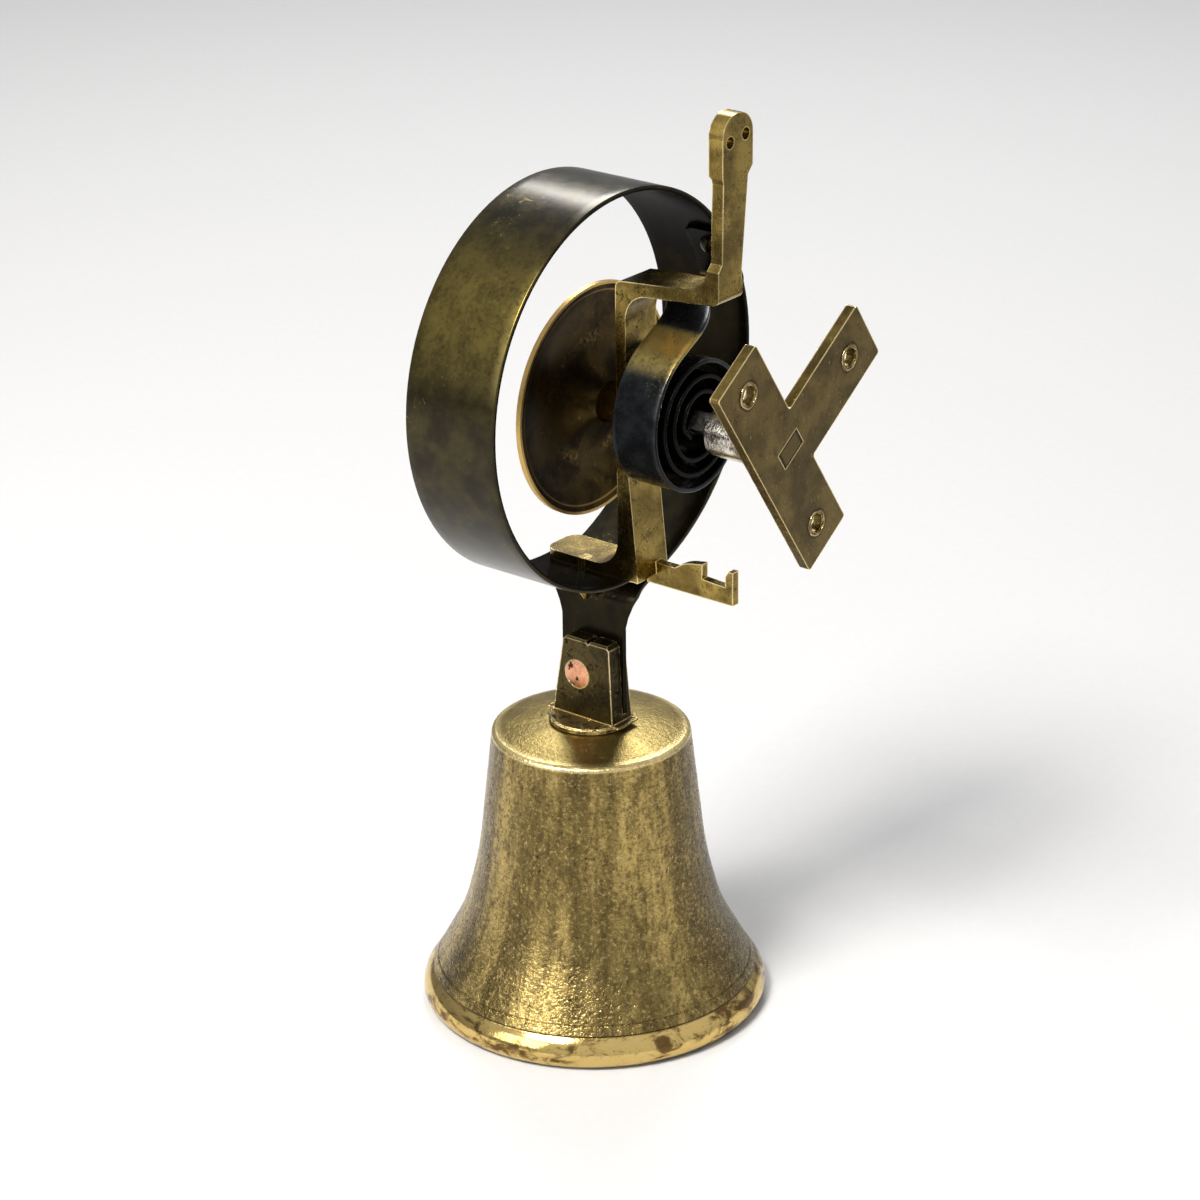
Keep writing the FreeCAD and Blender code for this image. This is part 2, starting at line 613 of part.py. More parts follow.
draw_circle(wire_holes, D.wire_hole_side - D.wire_spacing, hole_up + D.wire_hole_lift,
            D.wire_hole / 2)
cut_through(carriage, wire_holes, "WireHoleCut")
rivet_bore = new_sketch(carriage, "FootRivetHole", "XY_Plane")
draw_circle(rivet_bore, D.foot_rivet_side - 0, -D.foot_rivet_front,
            D.foot_rivet_radius + D.seat_gap)
cut_depth(carriage, rivet_bore, "FootRivetCut", D.mouth_drop, reverse=False)


# A strip bent in the XZ plane: a pen walks its middle line and leaves an edge on each side
class Strip:
    """Middle line of a bent strip, as arcs and straight runs, and the solid made from it."""

    def __init__(self, x, z, heading, thick):
        self.x, self.z, self.heading = x, z, heading
        self.half = thick / 2
        self.left, self.right, self.middle = [], [], []

    def way(self):
        return math.cos(math.radians(self.heading)), math.sin(math.radians(self.heading))

    def run(self, length):
        dx, dz = self.way()
        nx, nz = -dz, dx
        a = (self.x, self.z)
        self.x, self.z = self.x + dx * length, self.z + dz * length
        for edges, side_sign in ((self.left, 1), (self.right, -1)):
            shift = side_sign * self.half
            edges.append(Part.LineSegment(
                Vector(a[0] + nx * shift, 0, a[1] + nz * shift),
                Vector(self.x + nx * shift, 0, self.z + nz * shift)).toShape())
        self.middle.append(Part.LineSegment(
            Vector(a[0], 0, a[1]), Vector(self.x, 0, self.z)).toShape())

    def arc(self, radius, angle):
        """Turn through an angle, left when it is positive, in steps of a quarter turn."""
        steps = max(1, math.ceil(abs(angle) / 90.0 - 1e-9))
        for _ in range(steps):
            self.quarter(radius, angle / steps)

    def quarter(self, radius, angle):
        sign = 1 if angle > 0 else -1
        dx, dz = self.way()
        nx, nz = -dz * sign, dx * sign
        cx, cz = self.x + nx * radius, self.z + nz * radius

        def at(part, r):
            turned = math.radians(angle * part)
            vx, vz = -nx, -nz
            c, s = math.cos(turned), math.sin(turned)
            return Vector(cx + r * (vx * c - vz * s), 0, cz + r * (vx * s + vz * c))

        for edges, side_sign in ((self.left, 1), (self.right, -1), (self.middle, 0)):
            r = radius - sign * side_sign * self.half
            edges.append(Part.Arc(at(0, r), at(0.5, r), at(1, r)).toShape())
        end = at(1, radius)
        self.x, self.z = end.x, end.z
        self.heading += angle

    def solid(self, y_low, y_high):
        """Extrude the strip's section across its width."""
        first = Part.LineSegment(self.right[0].Vertexes[0].Point,
                                 self.left[0].Vertexes[0].Point).toShape()
        last = Part.LineSegment(self.left[-1].Vertexes[-1].Point,
                                self.right[-1].Vertexes[-1].Point).toShape()
        wire = Part.Wire(Part.__sortEdges__(self.left + self.right + [first, last]))
        face = Part.Face(wire)
        face.translate(Vector(0, y_low, 0))
        return face.extrude(Vector(0, y_high - y_low, 0))


# Bell spring: one ribbon, from under the carriage's foot round the loop and down to the bell
loop_x, loop_z = D.loop_side.value, D.loop_up.value
loop_r = D.loop_radius.value
half_ribbon = D.ribbon_wide.value / 2
axis_y = -D.bell_front.value
start = math.radians(-90 - D.end_angle.value)
ribbon = Strip(loop_x + loop_r * math.cos(start), loop_z + loop_r * math.sin(start),
               -D.end_angle.value, D.ribbon_thick.value)
ribbon.arc(loop_r, 360 + D.end_angle.value - D.leave_angle.value)
ribbon.arc(loop_r + D.leave_extra.value, D.leave_angle.value - D.slope_angle.value)
slope = math.radians(D.slope_angle.value)
neck_x = (D.bell_side - D.neck_side).value
bend_r = D.neck_bend.value
ribbon.run((neck_x - ribbon.x - bend_r * (1 - math.sin(slope))) / math.cos(slope))
ribbon.arc(bend_r, -(90 - D.slope_angle.value))
neck_top = ribbon.z
flange_top = (-D.mouth_drop + D.shoulder_up + D.crown_rise + D.flange_thick).value
slot_bottom = flange_top + D.slot_floor.value
ribbon.run(ribbon.z - slot_bottom - 0.3)
ribbon_solid = ribbon.solid(axis_y - half_ribbon, axis_y + half_ribbon)
half_neck = D.neck_wide.value / 2
taper_top = neck_top + 1.5 + D.neck_length.value * 0.4
taper_low = taper_top - D.neck_length.value
far_up = loop_z + loop_r * 1.5
wide_x = loop_r * 3
guide = [(half_neck, slot_bottom - 10), (half_neck, taper_low),
         (half_ribbon + 1, taper_top), (half_ribbon + 1, far_up)]
guide_points = [Vector(-wide_x, axis_y + y, z) for y, z in guide]
guide_points += [Vector(-wide_x, axis_y - y, z) for y, z in reversed(guide)]
guide_points.append(guide_points[0])
guide_face = Part.Face(Part.makePolygon(guide_points))
ribbon_solid = ribbon_solid.common(guide_face.extrude(Vector(wide_x * 2, 0, 0)))


def radial(angle_deg, radius):
    """A point of the loop, by its angle from +X and its distance from the loop's axis."""
    a = math.radians(angle_deg)
    return Vector(loop_x + radius * math.cos(a), 0, loop_z + radius * math.sin(a))


# Return coil: a flat spiral keyed on the square, its tail drifting forward onto the loop
coil_t = D.coil_thick.value
quarters = int(D.coil_quarters.value)
step = D.coil_step.value
facet_angle = 45.0
inner_x = D.square_corner.value + coil_t / 2 + 0.2
outer_x = inner_x + quarters * step
lift = D.coil_lift.value
seat_reach = D.square_corner.value / math.sqrt(2) + coil_t / 2 + D.seat_gap.value
half_root = math.cos(math.radians(facet_angle))
hook_r = (seat_reach - half_root * (inner_x - lift)) / (1 - half_root)
coil = Strip(outer_x, lift, -90.0, coil_t)
for k in range(quarters):
    coil.quarter(D.coil_last.value + step * (quarters - 1 - k), -90.0)
coil.quarter(hook_r, -facet_angle)
coil.run(D.square_corner.value * 0.8)
coil_front = -(D.coil_back + D.coil_wide).value
coil_rear = -D.coil_back.value
coil_solid = coil.solid(coil_front, coil_rear)
tail = Strip(outer_x, lift, 90.0, coil_t)
tail.quarter(D.tail_radius.value, D.tail_angle.value)
tail.run(D.tail_run.value)
drift_x = tail.x
tail.quarter(D.tail_sweep.value, D.tail_bow.value)
lap_r = loop_r - (D.ribbon_thick.value + coil_t) / 2 - D.seat_gap.value
bend = D.tail_bend.value
dx, dz = tail.way()
nx, nz = dz, -dx
over = nx * (tail.x - loop_x) + nz * (tail.z - loop_z) + bend
meet = tail.heading - 90 + math.degrees(math.acos(over / (lap_r - bend)))
corner = radial(meet, lap_r - bend)
tail.run((corner.x - tail.x) * dx + (corner.z - tail.z) * dz)
tail.arc(bend, (meet - 90) - tail.heading)
tail.quarter(lap_r, D.tail_end.value - meet)
half_coil = D.coil_wide.value / 2
coil_y = (coil_front + coil_rear) / 2
tail_y = axis_y + half_ribbon + D.tail_proud.value - half_coil
tail_solid = tail.solid(tail_y - half_coil, coil_rear)
tip = radial(D.tail_end.value, lap_r)
land_x = tip.x + 1.0
reach = (drift_x - land_x) * 0.42


def drift_edge(shift):
    curve = Part.BezierCurve()
    curve.setPoles([Vector(drift_x, coil_y + shift, low_z),
                    Vector(drift_x - reach, coil_y + shift, low_z),
                    Vector(land_x + reach, tail_y + shift, low_z),
                    Vector(land_x, tail_y + shift, low_z)])
    return curve.toShape()


def join(*corners):
    return [Part.LineSegment(a, b).toShape() for a, b in zip(corners, corners[1:])]


far_x = land_x - loop_r
low_z = loop_z - loop_r * 2
guide_edges = [drift_edge(half_coil), drift_edge(-half_coil)]
guide_edges += join(Vector(land_x, tail_y + half_coil, low_z), Vector(far_x, tail_y + half_coil, low_z),
                    Vector(far_x, tail_y - half_coil, low_z), Vector(land_x, tail_y - half_coil, low_z))
guide_edges += join(Vector(drift_x, coil_front, low_z), Vector(loop_r, coil_front, low_z),
                    Vector(loop_r, coil_rear, low_z), Vector(drift_x, coil_rear, low_z))
tail_guide = Part.Face(Part.Wire(Part.__sortEdges__(guide_edges)))
tail_solid = tail_solid.common(tail_guide.extrude(Vector(0, 0, loop_r * 4)))
tail_solid = tail_solid.Solids[0]
tip_edges = [edge for edge in tail_solid.Edges
             if abs(edge.Length - coil_t) < coil_t * 0.05
             and (edge.CenterOfMass - Vector(tip.x, edge.CenterOfMass.y, tip.z)).Length < coil_t]
tail_solid = tail_solid.makeFillet(half_coil * 0.5, tip_edges)
coil_rivet_way = radial(D.rivet_angle.value, 1) - radial(D.rivet_angle.value, 0)
rivet_spot = radial(D.rivet_angle.value, loop_r)
rivet_spot.y = tail_y
rivet_hole = Part.makeCylinder(D.rivet_radius.value + D.seat_gap.value, 12,
                               rivet_spot - coil_rivet_way * 6, coil_rivet_way)
coil_shape = coil_solid.fuse(tail_solid).removeSplitter()
coil_shape = coil_shape.cut(rivet_hole)
return_coil = solid_piece("return_coil", coil_shape.Solids[0])
print("return coil solids:", len(coil_shape.Solids))


def least_gap(edges, thick, apart):
    """Least air between stretches of a middle line that lie at least `apart` along it."""
    places = []
    travelled = 0.0
    for edge in edges:
        count = max(2, int(edge.Length / 0.4))
        points = edge.discretize(count)
        for a, b in zip(points, points[1:]):
            places.append((travelled, a))
            travelled += (b - a).Length
    best = 1e9
    for i, (si, pi) in enumerate(places):
        for sj, pj in places[i + 1:]:
            if sj - si > apart:
                best = min(best, (pi - pj).Length)
    return best - thick


print("return coil: least gap to itself %.2f mm" % least_gap(coil.middle, coil_t, 8.0))
print("bell spring: least gap to itself %.2f mm"
      % least_gap(ribbon.middle, D.ribbon_thick.value, 20.0))

# Holes in the ribbon for the rivets that hold it
foot_spot = Vector(D.foot_rivet_side.value, -D.foot_rivet_front.value, ribbon_floor.value - 6)
ribbon_solid = ribbon_solid.cut(rivet_hole)
ribbon_solid = ribbon_solid.cut(Part.makeCylinder(
    D.foot_rivet_radius.value + D.seat_gap.value, 10, foot_spot, Z_WAY))
copper_z = flange_top + D.copper_up.value
copper_y = axis_y - D.copper_front.value
ribbon_solid = ribbon_solid.cut(Part.makeCylinder(
    D.copper_radius.value + D.seat_gap.value, 20, Vector(neck_x - 10, copper_y, copper_z), X_WAY))
ribbon_shape = ribbon_solid.removeSplitter()
print("bell spring solids:", len(ribbon_shape.Solids))
bell_spring = solid_piece("bell_spring", ribbon_shape.Solids[0])


def turned(label, name, points, bulges=None):
    """A turned piece about its own Z axis, from a half section drawn on XZ."""
    body = new_body(label)
    section = new_sketch(body, name + "Profile", "XZ_Plane")
    draw_loop(section, points, bulges)
    turn(body, section, name + "Turning")
    return body


def put(body, x, y, z):
    """Tie the place of a body's own origin to the sheet."""
    for part_name, size in (("x", x), ("y", y), ("z", z)):
        body.setExpression("Placement.Base." + part_name, Size.of(size).text)


# Coil rivet: round head inside the loop, low head outside
lap_in = D.ribbon_thick / 2 + D.coil_thick + D.seat_gap
coil_rivet = turned("coil_rivet", "CoilRivet", [
    (0, -lap_in - D.rivet_dome),
    (D.rivet_head, -lap_in - 0.12),
    (D.rivet_radius, -lap_in - 0.12),
    (D.rivet_radius, D.ribbon_thick / 2 + 0.02),
    (D.rivet_head * 0.85, D.ribbon_thick / 2 + 0.02),
    (0, D.ribbon_thick / 2 + D.rivet_dome * 0.4),
], {0: (D.rivet_head * D.rivet_head + D.rivet_dome * D.rivet_dome) / (D.rivet_dome * 2)})
coil_rivet.Placement = Placement(rivet_spot, Rotation(Z_WAY, coil_rivet_way))

# Foot rivet and its collar: they hold the ribbon's end up against the carriage's foot
ribbon_under = D.loop_up - D.loop_radius - D.ribbon_thick / 2
foot_rivet = turned("foot_rivet", "FootRivet", [
    (0, foot_up - 0.05),
    (D.foot_rivet_radius, foot_up - 0.05),
    (D.foot_rivet_radius, ribbon_under - D.collar_tall - 0.02),
    (D.collar_radius * 0.85, ribbon_under - D.collar_tall - 0.02),
    (D.foot_rivet_radius * 0.4, ribbon_under - D.collar_tall - D.tail_cone),
    (0, ribbon_under - D.collar_tall - D.tail_cone),
])
put(foot_rivet, D.foot_rivet_side, -D.foot_rivet_front, 0)
foot_collar = turned("foot_collar", "FootCollar", [
    (D.foot_rivet_radius + D.seat_gap, ribbon_under - 0.03),
    (D.collar_radius, ribbon_under - 0.03),
    (D.collar_radius, ribbon_under - D.collar_tall),
    (D.foot_rivet_radius + D.seat_gap, ribbon_under - D.collar_tall),
])
put(foot_collar, D.foot_rivet_side, -D.foot_rivet_front, 0)

# Bell cup: cast bell with a rolled lip, a bead line above it and a low domed crown
flare_up = D.shoulder_up * 0.24
spread = D.mouth_radius - D.shoulder_radius
bead_radius = D.mouth_radius - D.bead_in
flare_low_radius = D.mouth_radius - D.flare_in
waist_radius = D.shoulder_radius + spread * D.waist_share
upper_radius = D.shoulder_radius + spread * D.upper_share
waist_up = D.shoulder_up * 0.423
upper_up = D.shoulder_up * 0.663
crown_up = D.shoulder_up + D.crown_rise
skin = D.wall_thick
bore_r = D.shank_stud + D.seat_gap
bell_cup = turned("bell_cup", "Bell", [
    (D.mouth_radius - 2.4, 0),
    (D.mouth_radius - 1.3, 0.35),
    (D.mouth_radius, 2.6),
    (bead_radius + 0.15, D.lip_tall - 0.1),
    (bead_radius - 0.3, D.lip_tall + 0.15),
    (bead_radius - 0.15, D.lip_tall + 0.6),
    (bead_radius - 1.15, D.lip_tall + 2.4),
    (bead_radius - 1.5, D.lip_tall + 2.6),
    (bead_radius - 1.45, D.lip_tall + 2.9),
    (flare_low_radius, flare_up),
    (waist_radius, waist_up),
    (upper_radius, upper_up),
    (D.shoulder_radius, D.shoulder_up),
    (D.shoulder_radius - D.shoulder_round, D.shoulder_up + D.shoulder_round),
    (D.flange_radius + 0.8, crown_up),
    (bore_r, crown_up),
    (bore_r, crown_up - skin),
    (D.washer_radius + 0.6, crown_up - skin),
    (D.shoulder_radius - skin * 2.6, D.shoulder_up - skin * 0.6),
    (D.shoulder_radius - skin * 1.05, D.shoulder_up - skin * 2.2),
    (upper_radius - skin, upper_up),
    (waist_radius - skin * 1.05, waist_up),
    (flare_low_radius - skin * 1.15, flare_up),
    (D.mouth_radius - D.lip_thick - 1.0, D.lip_tall - 1.0),
    (D.mouth_radius - D.lip_thick, 0),
], {1: Size(3.2), 2: Size(6.5), 9: -waist_radius * 1.45,
    10: -waist_radius * 3.2, 12: D.shoulder_round * 1.05,
    13: D.shoulder_radius * 4, 20: waist_radius * 3.0, 21: waist_radius * 1.5})
put(bell_cup, D.bell_side, -D.bell_front, -D.mouth_drop)

# Bell shank: flange and forked block above the crown, stud through it, blind bore below
flange_z = crown_up
block_z = flange_z + D.flange_thick
block_top = block_z + D.block_tall
stud_low = crown_up - skin - D.washer_thick - D.nut_tall - D.stud_below
bell_shank = turned("bell_shank", "Shank", [
    (0, stud_low),
    (D.shank_stud - 0.4, stud_low),
    (D.shank_stud, stud_low + 0.4),
    (D.shank_stud, flange_z + 0.02),
    (D.flange_radius - 0.25, flange_z + 0.02),
    (D.flange_radius, flange_z + 0.27),
    (D.flange_radius, block_z - 0.4),
    (D.flange_radius - 0.4, block_z),
    (0, block_z),
])
slot_half = D.ribbon_thick / 2 + D.seat_gap
slot_x = -D.neck_side
block = new_sketch(bell_shank, "BlockSide", "XZ_Plane")
draw_loop(block, [
    (slot_x - slot_half - D.cheek_left, block_z - 0.5),
    (slot_x + slot_half + D.cheek_right, block_z - 0.5),
    (slot_x + slot_half + D.cheek_right, block_top - 0.5),
    (slot_x + slot_half + D.cheek_right - 0.5, block_top),
    (slot_x + slot_half, block_top),
    (slot_x + slot_half, block_z + D.slot_floor),
    (slot_x - slot_half, block_z + D.slot_floor),
    (slot_x - slot_half, block_top),
    (slot_x - slot_half - D.cheek_tip, block_top),
])
pad(bell_shank, block, "BlockPad", D.block_low + 4, both=True)
sides = new_sketch(bell_shank, "BlockFace", "YZ_Plane")
wide = D.flange_radius * 2
low_half = D.block_low / 2
lean_in = D.block_low - D.block_high
draw_loop(sides, [
    (-wide, block_z), (-low_half, block_z),
    (lean_in * 0.8 - low_half, block_top - 1.0),
    (1.0 - low_half + lean_in * 0.8, block_top + 0.02),
    (1.1, block_top + 0.02),
    (1.9, block_top - 0.9),
    (2.6, block_top + 0.02),
    (low_half - lean_in * 0.2 - 1.0, block_top + 0.02),
    (low_half - lean_in * 0.2, block_top - 1.0),
    (low_half, block_z), (wide, block_z),
    (wide, block_top + 5), (-wide, block_top + 5)])
trim = bell_shank.newObject("PartDesign::Pocket", "BlockTrim")
trim.Profile = sides
trim.Type = 1
trim.Midplane = True
doc.recompute()
eye_bore = new_sketch(bell_shank, "StapleBore", "XY_Plane")
draw_circle(eye_bore, 0, 0, D.eye_wire * 1.4 + D.seat_gap)
eye_bore.setExpression("AttachmentOffset.Base.z", stud_low.text)
doc.recompute()
cut_depth(bell_shank, eye_bore, "StapleBoreCut", D.nut_tall + 1.2, reverse=True)
copper_bore = new_sketch(bell_shank, "CopperBore", "YZ_Plane")
draw_circle(copper_bore, -D.copper_front, block_z + D.copper_up, D.copper_radius + D.seat_gap)
cut_through(bell_shank, copper_bore, "CopperBoreCut")
put(bell_shank, D.bell_side, -D.bell_front, -D.mouth_drop)

# Shank rivet: copper, through both cheeks and the ribbon, its ends peened nearly flush
rivet_back = slot_x - slot_half - D.cheek_left * 0.75
rivet_front = slot_x + slot_half + D.cheek_right
shank_rivet = new_body("shank_rivet")
copper = new_sketch(shank_rivet, "CopperProfile", "XY_Plane")
draw_loop(copper, [
    (rivet_back - D.copper_dome, 0),
    (rivet_front + D.copper_dome, 0),
    (rivet_front, D.copper_radius),
    (rivet_back, D.copper_radius),
], {1: (D.copper_radius * D.copper_radius + D.copper_dome * D.copper_dome)
    / (D.copper_dome * 2),
    3: (D.copper_radius * D.copper_radius + D.copper_dome * D.copper_dome)
    / (D.copper_dome * 2)})
turn(shank_rivet, copper, "CopperTurning", "H_Axis")
put(shank_rivet, D.bell_side, -D.bell_front - D.copper_front,
    block_z + D.copper_up - D.mouth_drop)

# Crown washer and nut: they clamp the shank's stud from inside the bell
washer_top = crown_up - skin - 0.02
washer_low = washer_top - D.washer_thick
crown_washer = turned("crown_washer", "Washer", [
    (bore_r, washer_low), (D.washer_radius, washer_low),
    (D.washer_radius, washer_top), (bore_r, washer_top)])
put(crown_washer, D.bell_side, -D.bell_front, -D.mouth_drop)
crown_nut = new_body("crown_nut")
nut_sketch = new_sketch(crown_nut, "NutHexagon", "XY_Plane", washer_low - 0.02 - D.nut_tall)
flat = D.nut_across / 2
point = D.nut_across / math.sqrt(3)
draw_loop(nut_sketch, [
    (point, 0), (point / 2, flat), (-point / 2, flat),
    (-point, 0), (-point / 2, -flat), (point / 2, -flat)])
draw_circle(nut_sketch, 0, 0, bore_r)
pad(crown_nut, nut_sketch, "NutPad", D.nut_tall)
put(crown_nut, D.bell_side, -D.bell_front, -D.mouth_drop)

# Clapper staple: a wire eye on a short stem, screwed up into the shank's stud
eye_centre = stud_low - 0.3 - D.eye_wire - D.eye_radius
clapper_staple = turned("clapper_staple", "StapleStem", [
    (0, eye_centre + D.eye_radius - D.eye_wire * 0.3),
    (D.eye_wire * 1.4, eye_centre + D.eye_radius),
    (D.eye_wire * 1.4, stud_low + D.nut_tall + 1.0),
    (0, stud_low + D.nut_tall + 1.0)])


def wire_eye(body, name, role, centre, radius):
    """A ring of round wire about the sketch's own level axis, added to a body."""
    ring = body.newObject("Sketcher::SketchObject", name)
    ring.AttachmentSupport = [(plane_of(body, role), "")]
    ring.MapMode = "FlatFace"
    ring.setExpression("AttachmentOffset.Base.y", centre.text)
    doc.recompute()
    draw_circle(ring, 0, radius, D.eye_wire)
    return turn(body, ring, name + "Turning", "H_Axis")


wire_eye(clapper_staple, "StapleEye", "XZ_Plane", eye_centre, D.eye_radius)
put(clapper_staple, D.bell_side, -D.bell_front, -D.mouth_drop)

# Clapper: an eye that hooks into the staple, a straight rod and a ball riveted near its end
hang = eye_centre - D.eye_radius
clapper_eye = hang - (D.eye_radius - D.eye_wire - D.eye_wire - D.running_gap)
rod_top = clapper_eye - D.eye_radius
rod_low = D.ball_up - D.ball_radius - D.ball_peg
clapper_rod = turned("clapper_rod", "Rod", [
    (0, rod_top + D.eye_wire * 0.5), (D.rod_radius * 0.8, rod_top + D.eye_wire * 0.2),
    (D.rod_radius, rod_top - D.eye_wire * 1.5),
    (D.rod_radius, rod_low + 0.6),
    (D.rod_radius - 0.5, rod_low), (0, rod_low)])
wire_eye(clapper_rod, "ClapperEye", "YZ_Plane", clapper_eye, D.eye_radius)
put(clapper_rod, D.bell_side, -D.bell_front, -D.mouth_drop)
ball_bore = D.rod_radius + D.seat_gap
clapper_ball = new_body("clapper_ball")
ball_sketch = new_sketch(clapper_ball, "BallProfile", "XZ_Plane")
ball_rise = Size(math.sqrt((D.ball_radius * D.ball_radius - ball_bore * ball_bore).value),
                 "sqrt(%s)" % (D.ball_radius * D.ball_radius - ball_bore * ball_bore).text)
ball_mid = Size(0)
draw_loop(ball_sketch, [
    (ball_bore, D.ball_up + ball_rise), (ball_bore, D.ball_up - ball_rise),
    (D.ball_radius, D.ball_up)], {1: D.ball_radius, 2: D.ball_radius})
turn(clapper_ball, ball_sketch, "BallTurning")
put(clapper_ball, D.bell_side, -D.bell_front, -D.mouth_drop)
doc.recompute()

# Every object must be sound before its piece is written
faults = []
for obj in doc.Objects:
    if "Invalid" in obj.State or "Error" in obj.State:
        faults.append("%s: %s" % (obj.Name, obj.State))
for label, obj in nodes.items():
    shape = obj.Shape
    if shape.isNull() or not shape.isValid() or len(shape.Solids) != 1:
        faults.append("%s: shape null, invalid or not one solid" % label)
if faults:
    raise ValueError("; ".join(faults))
os.makedirs("parts", exist_ok=True)
everything = FreeCAD.BoundBox()
for label, obj in nodes.items():
    obj.Shape.exportStep("parts/%s.step" % label)
    everything.add(obj.Shape.BoundBox)
    print("%-15s volume %9.1f  solids %d" % (label, obj.Shape.Volume, len(obj.Shape.Solids)))
print("pieces:", len(nodes), " box:", everything)
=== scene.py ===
# %% [markdown]
# A sprung servants' bell. The metal parts arrive as a finished frame from the CAD model: every
# plate, casting and rivet is already in its place, in metres, with the wall plate's wall face
# at Y = 0 and the bell hanging out in front of it. This lesson dresses them. Most of our care
# goes into the finishes, because an old brass bell is mostly a story about tarnish, wear and
# polish. After that we rebuild what has to bend: the ribbon and the coil.

# %% The frame
import math

import bpy
from mathutils import Matrix, Vector


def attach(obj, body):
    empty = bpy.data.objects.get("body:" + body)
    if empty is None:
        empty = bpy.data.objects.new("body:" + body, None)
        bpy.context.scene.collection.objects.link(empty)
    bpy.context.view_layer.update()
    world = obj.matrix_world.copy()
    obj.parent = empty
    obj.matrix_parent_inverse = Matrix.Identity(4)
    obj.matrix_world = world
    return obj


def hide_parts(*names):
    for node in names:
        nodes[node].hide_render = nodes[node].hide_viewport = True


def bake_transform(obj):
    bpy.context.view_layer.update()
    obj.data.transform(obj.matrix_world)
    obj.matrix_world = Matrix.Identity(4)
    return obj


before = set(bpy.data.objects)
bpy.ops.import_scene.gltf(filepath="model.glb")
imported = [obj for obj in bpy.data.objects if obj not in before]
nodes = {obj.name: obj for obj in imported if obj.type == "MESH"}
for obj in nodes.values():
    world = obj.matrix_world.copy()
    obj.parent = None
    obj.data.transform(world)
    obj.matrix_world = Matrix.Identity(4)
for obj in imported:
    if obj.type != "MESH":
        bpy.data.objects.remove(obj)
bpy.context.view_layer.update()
print("pieces in the frame:", len(nodes))

# %% [markdown]
# We choose the camera first, so that every later choice can be judged in the picture. The
# object was seen from behind its wall plate, a little above, through a long lens. A long lens
# flattens perspective: the loop's near and far edges come out almost the same size. We give
# the lens's place, the way it looks, and a slight tilt of the horizon.

# %% The camera
MM = 0.001
EYE = Vector((637.95, 455.79, 296.30)) * MM
YAW, PITCH, ROLL = math.radians(128.74), math.radians(23.04), math.radians(-0.71)
SENSOR, FOCAL = 36.0, 110.65
back = Vector((math.sin(YAW) * math.cos(PITCH), -math.cos(YAW) * math.cos(PITCH),
               math.sin(PITCH)))
right = Vector((math.cos(YAW), math.sin(YAW), 0))
up = back.cross(right)
tilt_right = right * math.cos(ROLL) + up * math.sin(ROLL)
tilt_up = up * math.cos(ROLL) - right * math.sin(ROLL)
camera_data = bpy.data.cameras.new("Camera")
camera_data.sensor_width, camera_data.lens = SENSOR, FOCAL
camera_data.clip_start = 0.05
camera = bpy.data.objects.new("Camera", camera_data)
bpy.context.scene.collection.objects.link(camera)
turned = Matrix((tilt_right, tilt_up, back)).transposed().to_4x4()
camera.matrix_world = Matrix.Translation(EYE) @ turned
bpy.context.scene.camera = camera
print("camera at", [round(v, 3) for v in EYE])

# %% [markdown]
# Materials are where most of this work lies, so we first make writing them pleasant. A node
# material is arithmetic on pictures: one number or colour for every point of the surface.
# The class below wraps a node's output, so that plain Python such as `1 - wear * 0.5` lays
# down the Math nodes for us. Colours can't go through a Math node, which would turn them
# grey, so they get their own blend.

# %% Arithmetic on surfaces
PER_METRE = 1000.0


class Wire:
    """One output of a node; numbers and other wires can be added to it, scaled, and so on."""

    def __init__(self, finish, socket):
        self.finish, self.socket = finish, socket

    def maths(self, operation, *values):
        inputs = dict(enumerate(values))
        return self.finish.node("ShaderNodeMath", {"operation": operation}, inputs)

    def __add__(self, other):
        return self.maths("ADD", self, other)

    def __radd__(self, other):
        return self.maths("ADD", other, self)

    def __sub__(self, other):
        return self.maths("SUBTRACT", self, other)

    def __rsub__(self, other):
        return self.maths("SUBTRACT", other, self)

    def __mul__(self, other):
        return self.maths("MULTIPLY", self, other)

    def __truediv__(self, other):
        return self.maths("DIVIDE", self, other)

    def __pow__(self, other):
        return self.maths("POWER", self, other)

    def size(self):
        """The number without its sign."""
        return self.maths("ABSOLUTE", self)

    def most(self, other):
        """The greater of the two."""
        return self.maths("MAXIMUM", self, other)

    def clamp(self):
        """Nothing below 0 and nothing above 1."""
        return self.finish.node("ShaderNodeClamp", {}, {"Value": self})

    def step(self, start, end):
        """0 at start and 1 at end, in either order, with a smooth change between them."""
        return self.finish.node("ShaderNodeMapRange", {"interpolation_type": "SMOOTHSTEP"},
                                {"Value": self, "From Min": start, "From Max": end})

    def band(self, middle, inner, outer):
        """1 up to inner away from the middle, on both sides, and 0 beyond outer."""
        return 1 - (self - middle).size().step(inner, outer)

    def axis(self, name):
        """One axis of a place, in metres."""
        return Wire(self.finish, self.finish.split(self).outputs[name])

    def mm(self, name):
        """The same in millimetres."""
        return self.axis(name) * PER_METRE


print("a wire can:", ", ".join(name for name in vars(Wire) if not name.startswith("_")))

# %% [markdown]
# A finish is one material with its Principled shader. `node` adds any node from its type, its
# settings and what goes into its sockets. The small helpers after it name the things we ask
# for again and again: the place of a point on the object, clouds of noise at a scale given in
# millimetres, and a mask of the piece's edges.

